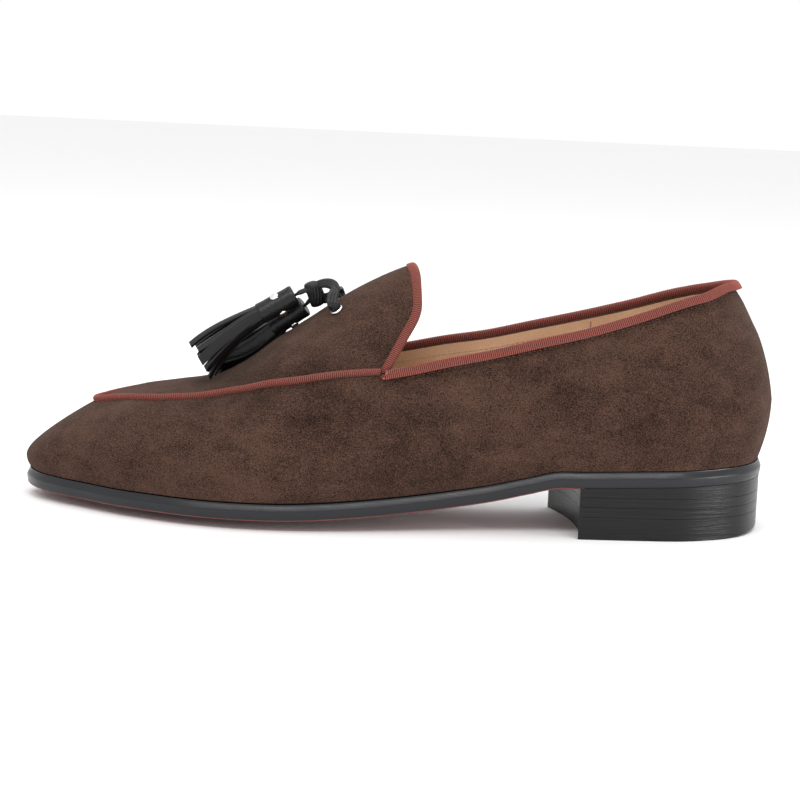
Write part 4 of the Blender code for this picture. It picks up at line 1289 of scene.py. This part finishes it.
def cap_profile(angle):
    """Radius and height round one half section of a cap, outside and back inside."""
    bore = CAP_RADIUS - CAP_WALL
    leaf = -CAP_LEAF * ((angle - CAP_OVERLAP_TURN) % (2 * math.pi)) / (2 * math.pi)
    profile = [(CAP_HOLE, CAP_WALL), (CAP_HOLE, 0.0002), (CAP_RADIUS * 0.62, 0.0)]
    for i in range(CAP_BEND_STEPS + 1):
        bend = math.pi / 2 * i / CAP_BEND_STEPS
        reach = CAP_RADIUS * 0.82 + (CAP_RADIUS * 0.18 + leaf) * math.sin(bend)
        profile.append((reach, CAP_SHOULDER * (1 - math.cos(bend))))
    for i in range(1, CAP_ROWS + 1):
        share = i / CAP_ROWS
        wave = CAP_WAVE * math.sin(9 * share + 2 * angle)
        waist = 1 - CAP_WAIST * math.sin(math.pi * share) + wave
        height = CAP_SHOULDER + (CAP_LENGTH - 0.0015) * share
        profile.append((CAP_RADIUS * waist + leaf, height))
    return profile + [
        (CAP_RADIUS * 0.96 + leaf, CAP_LENGTH + 0.0001),
        (bore + 0.0003, CAP_LENGTH + 0.0001),
        (bore, CAP_LENGTH - 0.0004),
        (bore, CAP_WALL),
    ]


def build_cap(side, leather):
    """A cap rolled out of one leaf of leather, whose end stands up where it laps over."""
    top, axis, _, _, first, second = tassel_frame(side)
    rings = []
    for k, out in enumerate(round_ways(first, second, CAP_SIDES)):
        profile = cap_profile(2 * math.pi * k / CAP_SIDES)
        rings.append([top + out * r + axis * h for r, h in profile])
    name = "tassel_" + SIDE_NAMES[side]
    mesh = sweep(name + "_leather_cap", rings, True)
    thing = add_object(name + "_leather_cap", mesh, (leather,), math.radians(35))
    hand_over(thing, "black_leather", name + "_cap")


# Strips of a fringe: turn, ring (share of the bore), width, length share, curl, twist
STRIPS = (
    (0.00, 1.00, 0.0042, 1.00, 0.0006, 0.10),
    (0.62, 1.00, 0.0026, 0.96, -0.0008, -0.25),
    (1.25, 1.00, 0.0030, 1.02, 0.0010, 0.30),
    (1.90, 1.00, 0.0026, 0.95, 0.0012, -0.20),
    (2.55, 1.00, 0.0030, 0.98, 0.0004, 0.15),
    (3.20, 1.00, 0.0030, 0.97, -0.0006, 0.20),
    (3.85, 1.00, 0.0028, 1.00, -0.0004, -0.30),
    (4.50, 1.00, 0.0030, 0.94, -0.0010, 0.25),
    (5.10, 1.00, 0.0032, 1.01, -0.0012, -0.15),
    (5.70, 1.00, 0.0028, 0.97, 0.0008, 0.35),
    (0.30, 0.60, 0.0030, 1.00, 0.0008, -0.35),
    (1.60, 0.60, 0.0028, 0.97, -0.0006, 0.30),
    (2.90, 0.60, 0.0030, 0.99, 0.0006, -0.20),
    (4.20, 0.60, 0.0028, 1.01, 0.0004, 0.40),
    (5.40, 0.60, 0.0030, 0.96, -0.0008, -0.40),
    (0.90, 0.18, 0.0034, 0.98, 0.0004, 0.60),
)
STRIP_THICKNESS = 0.0010
STRIP_STEPS = 22
STRIP_HELD_SHARE = 0.12
STRIP_START_SHARE = 0.60
STRIP_CUP = 0.00025
STRIP_ACROSS = (-1.0, -0.55, 0.0, 0.55, 1.0)
# How much wider and longer the strips lie than the plain fringe
FAN_SHARE = 1.35
LENGTH_SHARE = 1.01
SAG = {OUTER: 0.0, INNER: 0.0018}


def strip_rings(side, strip):
    """Rings of one strip, from inside the cap to its tip."""
    turn, layer, wide, long, curl, twist = strip
    top, axis, bend, fan, first, second = tassel_frame(side)
    bore = CAP_RADIUS - CAP_WALL - GAP
    out = first * math.cos(turn) + second * math.sin(turn)
    across = axis.cross(out)
    start = top + axis * (CAP_LENGTH * STRIP_START_SHARE)
    start += out * (bore - STRIP_THICKNESS * 0.6) * layer
    length = CAP_LENGTH * (1 - STRIP_START_SHARE) + FRINGE_LENGTH * LENGTH_SHARE * long
    sag = SAG[side] * (1 - 0.8 * layer * math.sin(turn))
    rings = []
    for i in range(STRIP_STEPS + 1):
        share = i / STRIP_STEPS
        free = max(0.0, share - STRIP_HELD_SHARE) / (1 - STRIP_HELD_SHARE)
        spread = fan * FAN_SHARE * layer * share**1.3
        centre = start + axis * (length * share) + bend * free**2
        centre += out * (spread + curl * math.sin(3.0 * free) * free)
        centre -= second * (sag * math.sin(math.pi * min(share * 1.15, 1.0)))
        centre += across * (curl * 0.9 * math.sin(2.2 * free + turn) * free)
        lean = twist * free
        flat = across * math.cos(lean) + out * math.sin(lean)
        face = out * math.cos(lean) - across * math.sin(lean)
        half = wide / 2 * (0.72 + 0.28 * min(share * 3, 1.0))
        cup = STRIP_CUP * math.sin(math.pi * free)
        ring = []
        for up in (1, -1):
            for a in STRIP_ACROSS[::up]:
                ring.append(centre + flat * half * a + face * (up * STRIP_THICKNESS / 2 - cup * a * a))
        rings.append(ring)
    return rings


def build_fringe(side, leather):
    """Strips that hang out of the cap, fan out, curl a little and part at their ends."""
    points = []
    faces = []
    for strip in STRIPS:
        rows = []
        for ring in strip_rings(side, strip):
            rows.append(list(range(len(points), len(points) + len(ring))))
            points += ring
        faces += [tuple(rows[0]), tuple(rows[-1])]
        for a, b in zip(rows, rows[1:]):
            faces += band_faces(a, b)
    name = "tassel_" + SIDE_NAMES[side]
    mesh = close_mesh(name + "_strips", points, faces)
    thing = add_object(name + "_strips", mesh, (leather,), math.radians(35))
    hand_over(thing, "black_leather", name + "_fringe")


RIVET_PLACE_SHARE = 0.48
RIVET_BED = 0.0001


def build_rivets(side, silver, rivets):
    """Domed rivets round a cap; each starts as a point that knows its outward way."""
    top, axis, _, _, first, second = tassel_frame(side)
    spots = []
    ways = []
    for i in range(RIVETS):
        turn = 2 * math.pi * i / RIVETS + RIVET_TURN
        out = first * math.cos(turn) + second * math.sin(turn)
        spots.append(top + axis * (CAP_LENGTH * RIVET_PLACE_SHARE) + out * (CAP_RADIUS - RIVET_BED))
        ways.append(out)
    name = SIDE_NAMES[side]
    mesh = mesh_from("rivets_" + name, spots, [])
    way = mesh.attributes.new("outward", "FLOAT_VECTOR", "POINT")
    way.data.foreach_set("vector", [value for out in ways for value in out])
    thing = add_object("rivets_" + name, mesh, (silver,))
    run_tree(thing, rivets, {"Radius": RIVET_RADIUS, "Height": RIVET_HEIGHT, "Material": silver})
    thing.data.shade_smooth()
    nodes = ["tassel_" + name + "_rivet_" + str(i + 1) for i in range(RIVETS)]
    hand_over(thing, "silver", *nodes)


def add_node(tree, kind, values=None, **settings):
    """Add a node; a value that is a socket is linked, and any other is set."""
    node = tree.nodes.new(kind)
    for name, value in settings.items():
        setattr(node, name, value)
    for name, value in (values or {}).items():
        if isinstance(value, bpy.types.NodeSocket):
            tree.links.new(value, node.inputs[name])
        else:
            node.inputs[name].default_value = value
    return node


def new_tree(name, inputs):
    """A Geometry Nodes tree with its named inputs; gives the tree, its start and its end."""
    tree = bpy.data.node_groups.new(name, "GeometryNodeTree")
    tree.interface.new_socket(name="Geometry", in_out="INPUT", socket_type="NodeSocketGeometry")
    for label, value in inputs:
        socket = tree.interface.new_socket(
            name=label, in_out="INPUT", socket_type="NodeSocketFloat"
        )
        socket.default_value = value
    tree.interface.new_socket(name="Material", in_out="INPUT", socket_type="NodeSocketMaterial")
    tree.interface.new_socket(name="Geometry", in_out="OUTPUT", socket_type="NodeSocketGeometry")
    return tree, add_node(tree, "NodeGroupInput"), add_node(tree, "NodeGroupOutput")


def end_tree(tree, start, end, shape):
    """Close a tree: instances made real, and the material set."""
    real = add_node(tree, "GeometryNodeRealizeInstances", {"Geometry": shape})
    painted = add_node(
        tree, "GeometryNodeSetMaterial",
        {"Geometry": real.outputs[0], "Material": start.outputs["Material"]},
    )
    tree.links.new(painted.outputs[0], end.inputs["Geometry"])
    return tree


def math_node(tree, operation, first, second=0.0):
    node = tree.nodes.new("ShaderNodeMath")
    node.operation = operation
    for socket, value in zip(node.inputs, (first, second)):
        if isinstance(value, bpy.types.NodeSocket):
            tree.links.new(value, socket)
        else:
            socket.default_value = value
    return node.outputs[0]


def rib_tree():
    """Ribs across a ribbon: its rings sink between one rib and the next."""
    tree, start, end = new_tree("ribbon_ribs", (("Pitch", RIB_PITCH), ("Depth", RIB_DEPTH)))
    run = add_node(tree, "GeometryNodeInputNamedAttribute", {"Name": "run"}, data_type="FLOAT")
    turns = math_node(tree, "DIVIDE", run.outputs[0], start.outputs["Pitch"])
    wave = math_node(tree, "COSINE", math_node(tree, "MULTIPLY", turns, math.pi))
    rib = math_node(tree, "ABSOLUTE", wave)
    sink = math_node(tree, "MULTIPLY", math_node(tree, "SUBTRACT", rib, 1.0), start.outputs["Depth"])
    normal = add_node(tree, "GeometryNodeInputNormal")
    offset = tree.nodes.new("ShaderNodeVectorMath")
    offset.operation = "SCALE"
    tree.links.new(normal.outputs[0], offset.inputs[0])
    tree.links.new(sink, offset.inputs["Scale"])
    moved = add_node(
        tree, "GeometryNodeSetPosition",
        {"Geometry": start.outputs["Geometry"], "Offset": offset.outputs[0]},
    )
    return end_tree(tree, start, end, moved.outputs[0])


def stitch_tree():
    """Stitches along a line: a short length of thread at each pitch, along the line."""
    sizes = (("Pitch", 0.0024), ("Length", 0.0017), ("Thickness", 0.0004))
    tree, start, end = new_tree("thread_stitches", sizes)
    line = add_node(tree, "GeometryNodeMeshToCurve", {"Mesh": start.outputs["Geometry"]})
    spots = add_node(
        tree, "GeometryNodeResampleCurve",
        {"Curve": line.outputs[0], "Length": start.outputs["Pitch"]}, mode="LENGTH",
    )
    ball = add_node(
        tree, "GeometryNodeMeshUVSphere", {"Segments": 8, "Rings": 8, "Radius": 0.5}
    )
    scale = add_node(tree, "ShaderNodeCombineXYZ", {
        "X": start.outputs["Length"], "Y": start.outputs["Thickness"],
        "Z": start.outputs["Thickness"],
    })
    thread = add_node(
        tree, "GeometryNodeTransform", {"Geometry": ball.outputs[0], "Scale": scale.outputs[0]}
    )
    tangent = add_node(tree, "GeometryNodeInputTangent")
    turn = add_node(
        tree, "FunctionNodeAlignRotationToVector", {"Vector": tangent.outputs[0]}, axis="X"
    )
    copies = add_node(tree, "GeometryNodeInstanceOnPoints", {
        "Points": spots.outputs[0], "Instance": thread.outputs[0], "Rotation": turn.outputs[0],
    })
    return end_tree(tree, start, end, copies.outputs[0])


def rivet_tree():
    """A domed rivet at each point, turned to the point's outward way."""
    sizes = (("Radius", RIVET_RADIUS), ("Height", RIVET_HEIGHT))
    tree, start, end = new_tree("domed_rivets", sizes)
    ball = add_node(
        tree, "GeometryNodeMeshUVSphere", {"Segments": 32, "Rings": 24, "Radius": 1.0}
    )
    scale = add_node(tree, "ShaderNodeCombineXYZ", {
        "X": start.outputs["Radius"], "Y": start.outputs["Radius"], "Z": start.outputs["Height"],
    })
    dome = add_node(
        tree, "GeometryNodeTransform", {"Geometry": ball.outputs[0], "Scale": scale.outputs[0]}
    )
    way = add_node(
        tree, "GeometryNodeInputNamedAttribute", {"Name": "outward"}, data_type="FLOAT_VECTOR"
    )
    turn = add_node(
        tree, "FunctionNodeAlignRotationToVector", {"Vector": way.outputs[0]}, axis="Z"
    )
    copies = add_node(tree, "GeometryNodeInstanceOnPoints", {
        "Points": start.outputs["Geometry"], "Instance": dome.outputs[0],
        "Rotation": turn.outputs[0],
    })
    return end_tree(tree, start, end, copies.outputs[0])


def run_tree(thing, tree, values):
    """Run a tree on an object with its inputs set, and keep the result as a plain mesh."""
    modifier = thing.modifiers.new(tree.name, "NODES")
    modifier.node_group = tree
    for item in tree.interface.items_tree:
        if item.item_type == "SOCKET" and item.in_out == "INPUT" and item.name in values:
            modifier[item.identifier] = values[item.name]
    settle(thing)


def lining_spot(side, i, drop, out):
    """A point on a side's wall, a drop below its rim, a distance off its outer face."""
    rib, ahead = RIBS[side][i], RIBS[side][i + 1]
    height = side_value(COLLAR, rib.along, side) * TOP_HEIGHT - BINDING_HEIGHT - drop
    angle = rib.angle_at_height(height)
    point = rib.wall_point(angle)
    normal = (ahead.wall_point(angle) - point).cross(rib.wall_point(angle + 0.02) - point)
    normal.normalize()
    if normal.y * side < 0:
        normal = -normal
    return point + normal * out


def thread_line(name, points, thread, stitches, sizes):
    """A row of stitches through points."""
    mesh = bpy.data.meshes.new(name)
    edges = [(i, i + 1) for i in range(len(points) - 1)]
    mesh.from_pydata([tuple(point) for point in points], edges, [])
    thing = add_object(name, mesh, (thread,))
    pitch, length, thickness = sizes
    values = {"Pitch": pitch, "Length": length, "Thickness": thickness, "Material": thread}
    run_tree(thing, stitches, values)
    thing.data.shade_smooth()
    hand_over(thing, "lining")


LINING_DROP = 0.0042
LINING_SEAM_RIB = HEEL_FAN + 22
LINING_SEAM_STEPS = 24
LINING_SEAM_STEP = 0.0015
BAR_DROP = 0.0006
EDGE_DROP = 0.0012
THREAD_BED = 0.0001
# Pitch, length and thickness of the stitches
LINING_STITCH = (0.0022, 0.0017, 0.00040)
SEAM_STITCH = (0.0009, 0.0011, 0.0004)
BAR_STITCH = (0.00045, 0.0010, 0.0006)
EDGE_STITCH = (0.0021, 0.0009, 0.00022)


def build_stitches(pale, brown, stitches):
    """Rows of stitches on each side: along the lining, down its seam and under the binding."""
    inside = -WALL - THREAD_BED
    for side in (OUTER, INNER):
        name = SIDE_NAMES[side]
        row = [lining_spot(side, i, LINING_DROP, inside) for i in range(2, THROAT_RIB - 3)]
        thread_line("lining_stitches_" + name, row, pale, stitches, LINING_STITCH)
        row = [
            lining_spot(side, LINING_SEAM_RIB, LINING_DROP * 0.4 + k * LINING_SEAM_STEP, inside)
            for k in range(LINING_SEAM_STEPS)
        ]
        thread_line("seam_stitches_" + name, row, brown, stitches, SEAM_STITCH)
        row = [
            lining_spot(side, LINING_SEAM_RIB + k, LINING_DROP + BAR_DROP, inside)
            for k in (-1, 0, 1)
        ]
        thread_line("bar_stitches_" + name, row, brown, stitches, BAR_STITCH)
        row = [lining_spot(side, i, EDGE_DROP, THREAD_BED) for i in range(1, THROAT_RIB - 5)]
        thread_line("edge_stitches_" + name, row, brown, stitches, EDGE_STITCH)


def new_material(name, colour, roughness, metallic=0.0, **more):
    """A material with its uniform values set straight on the shader."""
    material = bpy.data.materials.new(name)
    material.use_nodes = True
    tree = material.node_tree
    shader = tree.nodes["Principled BSDF"]
    shader.inputs["Base Color"].default_value = (*colour, 1.0)
    shader.inputs["Roughness"].default_value = roughness
    shader.inputs["Metallic"].default_value = metallic
    for label, value in more.items():
        shader.inputs[label.replace("_", " ")].default_value = value
    place = add_node(tree, "ShaderNodeTexCoord").outputs["Object"]
    return material, tree, shader, place


def grain(tree, place, scale, detail=2.0, roughness=0.5, distortion=0.0):
    values = {
        "Vector": place, "Scale": scale, "Detail": detail, "Roughness": roughness,
        "Distortion": distortion,
    }
    return add_node(tree, "ShaderNodeTexNoise", values).outputs[0]


def stretched(tree, place, scale):
    return add_node(
        tree, "ShaderNodeMapping", {"Vector": place, "Scale": scale}
    ).outputs["Vector"]


def weighed(tree, *parts):
    """Sum of (socket, weight) parts."""
    total = None
    for socket, weight in parts:
        part = math_node(tree, "MULTIPLY", socket, weight)
        total = part if total is None else math_node(tree, "ADD", total, part)
    return total


def tint(tree, shader, share, low, high, dark, light):
    """Colour a shader from dark to light as share runs from low to high."""
    ranged = add_node(tree, "ShaderNodeMapRange", {
        "Value": share, "From Min": low, "From Max": high,
    }).outputs["Result"]
    node = tree.nodes.new("ShaderNodeMix")
    node.data_type = "RGBA"
    tree.links.new(ranged, node.inputs[0])
    node.inputs[6].default_value = (*dark, 1.0)
    node.inputs[7].default_value = (*light, 1.0)
    tree.links.new(node.outputs[2], shader.inputs["Base Color"])


def raise_grain(tree, shader, height, distance, strength=1.0):
    bump = add_node(tree, "ShaderNodeBump", {
        "Height": height, "Distance": distance, "Strength": strength,
    })
    tree.links.new(bump.outputs["Normal"], shader.inputs["Normal"])


def suede_material():
    """Brushed suede: broad soft patches, brush marks, mottle and a fine speckled nap."""
    material, tree, shader, place = new_material(
        "brown_suede", (0.066, 0.036, 0.026), 0.95, Specular_IOR_Level=0.08, Sheen_Weight=0.07,
        Sheen_Roughness=0.5, Sheen_Tint=(0.85, 0.66, 0.55, 1.0),
    )
    patches = grain(tree, place, 24.0, 2.0, 0.5, 0.3)
    brushed = grain(tree, stretched(tree, place, (1.0, 1.0, 1.7)), 85.0, 2.0, 0.5, 0.6)
    mottle = grain(tree, place, 420.0, 3.0, 0.6, 0.4)
    nap = grain(tree, place, 2200.0, 1.0, 0.6)
    share = weighed(tree, (patches, 0.24), (brushed, 0.18), (mottle, 0.04), (nap, 0.54))
    tint(tree, shader, share, 0.40, 0.60, (0.0125, 0.0066, 0.0046), (0.080, 0.0425, 0.0300))
    height = weighed(tree, (mottle, 0.45), (nap, 0.55))
    raise_grain(tree, shader, height, 0.00045, 0.9)
    return material


def ribbon_material():
    """Burgundy ribbon with painted shade: its grooves are coloured darker than its ribs."""
    material, tree, shader, place = new_material(
        "burgundy_ribbon", (0.20, 0.045, 0.037), 0.75, Specular_IOR_Level=0.2, Sheen_Weight=0.05,
    )
    run = add_node(tree, "ShaderNodeAttribute", attribute_name="run").outputs["Fac"]
    wave = math_node(tree, "COSINE", math_node(tree, "MULTIPLY", run, math.pi / RIB_PITCH))
    rib = math_node(tree, "ABSOLUTE", wave)
    weave = grain(tree, place, 1800.0, 2.0, 0.6)
    share = weighed(tree, (rib, 0.75), (weave, 0.5))
    # painted shade: each groove between two ribs gets the dark colour, the ribs the light one
    tint(tree, shader, share, 0.40, 1.00, (0.020, 0.006, 0.005), (0.240, 0.062, 0.046))
    raise_grain(tree, shader, weave, 0.0001, 0.5)
    return material


def lining_material():
    material, tree, shader, place = new_material(
        "tan_lining", (0.56, 0.31, 0.16), 0.55, Specular_IOR_Level=0.35
    )
    soft = grain(tree, place, 45.0, 3.0, 0.5)
    pores = grain(tree, place, 1600.0, 2.0, 0.6)
    share = weighed(tree, (soft, 0.6), (pores, 0.4))
    tint(tree, shader, share, 0.30, 0.70, (0.50, 0.310, 0.185), (0.72, 0.490, 0.320))
    raise_grain(tree, shader, pores, 0.00012, 0.5)
    return material


def edge_material():
    """Sole edge: black wax burnished to a gloss, with faint scuffs along it."""
    material, tree, shader, place = new_material(
        "black_edge", (0.0060, 0.0064, 0.0088), 0.22, Specular_IOR_Level=0.42
    )
    streaks = grain(tree, stretched(tree, place, (0.10, 0.10, 1.0)), 900.0, 3.0, 0.6)
    rough = add_node(tree, "ShaderNodeMapRange", {
        "Value": streaks, "From Min": 0.3, "From Max": 0.7, "To Min": 0.24, "To Max": 0.42,
    }).outputs["Result"]
    tree.links.new(rough, shader.inputs["Roughness"])
    raise_grain(tree, shader, streaks, 0.00010, 0.45)
    return material


def stack_material():
    """Stacked heel: black leather layers whose fine lines run level round it."""
    material, tree, shader, place = new_material(
        "black_stack", (0.005, 0.005, 0.006), 0.32, Specular_IOR_Level=0.27
    )
    lines = grain(tree, stretched(tree, place, (0.03, 0.03, 1.0)), 1100.0, 3.0, 0.65)
    pores = grain(tree, place, 700.0, 2.0, 0.6)
    tint(tree, shader, lines, 0.30, 0.75, (0.0030, 0.0030, 0.0035), (0.0085, 0.0083, 0.0092))
    raise_grain(tree, shader, weighed(tree, (lines, 0.85), (pores, 0.15)), 0.00030, 0.8)
    return material


def under_material():
    """Underside of the sole: dull stained leather."""
    material, tree, shader, place = new_material("stained_sole", (0.16, 0.035, 0.03), 0.6)
    soft = grain(tree, place, 60.0, 4.0, 0.6)
    tint(tree, shader, soft, 0.3, 0.7, (0.12, 0.026, 0.022), (0.20, 0.045, 0.038))
    return material


def leather_material():
    """Black pebbled leather of the thongs and tassels."""
    material, tree, shader, place = new_material(
        "black_leather", (0.005, 0.005, 0.0055), 0.36, Specular_IOR_Level=0.32
    )
    pebbles = add_node(tree, "ShaderNodeTexVoronoi", {"Vector": place, "Scale": 1050.0},
                       feature="SMOOTH_F1")
    pores = grain(tree, place, 1900.0, 2.0, 0.6)
    height = weighed(tree, (pebbles.outputs["Distance"], -0.8), (pores, 0.35))
    raise_grain(tree, shader, height, 0.00022, 0.55)
    tint(tree, shader, pores, 0.3, 0.7, (0.0035, 0.0035, 0.004), (0.0075, 0.0075, 0.0085))
    return material


def silver_material():
    return new_material("bright_silver", (0.82, 0.81, 0.79), 0.16, 1.0)[0]


def thread_material(name, colour):
    return new_material(name, colour, 0.7)[0]


# The camera looks at the outer side from nine degrees above the floor, a little rolled
CAMERA_LOOK = (-0.112, 0.0, 0.0465)
CAMERA_DISTANCE = 0.913
CAMERA_PITCH = math.radians(9.0)
CAMERA_ROLL = math.radians(2.6)
CAMERA_LENS = 100.8
CAMERA_SENSOR = 36.0


def place_camera():
    """The camera: it looks along +Y and down, turned about its own axis."""
    forward = Vector((0.0, math.cos(CAMERA_PITCH), -math.sin(CAMERA_PITCH)))
    level = Vector((1.0, 0.0, 0.0))
    upright = level.cross(forward)
    right = level * math.cos(CAMERA_ROLL) + upright * math.sin(CAMERA_ROLL)
    up = right.cross(forward)
    data = bpy.data.cameras.new("camera")
    data.lens = CAMERA_LENS
    data.sensor_width = CAMERA_SENSOR
    camera = bpy.data.objects.new("camera", data)
    bpy.context.scene.collection.objects.link(camera)
    turn = camera.matrix_world.copy()
    for row in range(3):
        turn[row][0] = right[row]
        turn[row][1] = up[row]
        turn[row][2] = -forward[row]
        turn[row][3] = CAMERA_LOOK[row] - forward[row] * CAMERA_DISTANCE
    camera.matrix_world = turn
    bpy.context.scene.camera = camera


# Soft boxes: name, place, length, width, power in watts
LIGHTS = (
    ("top_box", (-0.10, 0.10, 1.30), 1.1, 1.1, 6.0),
    ("front_strip", (-0.15, -1.00, 1.15), 1.8, 0.35, 13.0),
    ("heel_box", (0.95, -0.50, 0.12), 0.26, 0.22, 4.0),
)
LIGHT_AIM = Vector((-0.11, 0.0, 0.05))
SKY = 1.0
FLOOR_HALF = 4.0


def build_studio():
    """Pale floor, pale surroundings and soft boxes round the shoe."""
    world = bpy.data.worlds.new("studio")
    world.use_nodes = True
    world.node_tree.nodes["Background"].inputs["Color"].default_value = (1.0, 1.0, 1.0, 1.0)
    world.node_tree.nodes["Background"].inputs["Strength"].default_value = SKY
    bpy.context.scene.world = world
    bpy.context.scene.view_settings.view_transform = "Standard"
    for name, place, length, width, power in LIGHTS:
        data = bpy.data.lights.new(name, "AREA")
        data.shape = "RECTANGLE"
        data.size = length
        data.size_y = width
        data.energy = power
        light = bpy.data.objects.new(name, data)
        light.location = place
        light.rotation_euler = (LIGHT_AIM - Vector(place)).to_track_quat("-Z", "Y").to_euler()
        bpy.context.scene.collection.objects.link(light)
    corners = [(x * FLOOR_HALF, y * FLOOR_HALF, 0.0) for x, y in ((-1, -1), (1, -1), (1, 1), (-1, 1))]
    mesh = mesh_from("studio_floor", corners, [(0, 1, 2, 3)])
    white = new_material("studio_white", (0.90, 0.90, 0.90), 0.8)[0]
    add_object("studio_floor", mesh, (white,))


def main():
    place_camera()
    build_studio()
    suede, lining = suede_material(), lining_material()
    ribbon, leather, silver = ribbon_material(), leather_material(), silver_material()
    stack = stack_material()
    thread = thread_material("pale_thread", (0.50, 0.33, 0.19))
    brown = thread_material("brown_thread", (0.16, 0.10, 0.075))
    ribs, stitches, rivets = rib_tree(), stitch_tree(), rivet_tree()
    build_upper(suede, lining)
    edge = edge_material()
    build_outsole(edge, under_material())
    build_insole(lining, edge)
    build_heel(stack)
    build_top_lift(stack)
    build_collar_binding(ribbon, ribs)
    build_tongue_binding(ribbon, ribs)
    build_piping(ribbon, ribs)
    build_eyelets(silver)
    build_stitches(thread, brown, stitches)
    build_knot(leather)
    for side in (OUTER, INNER):
        build_cap(side, leather)
        build_fringe(side, leather)
        build_rivets(side, silver, rivets)
    for side in (OUTER, INNER):
        thong, route, length, pieces = build_thong(side, leather)


main()
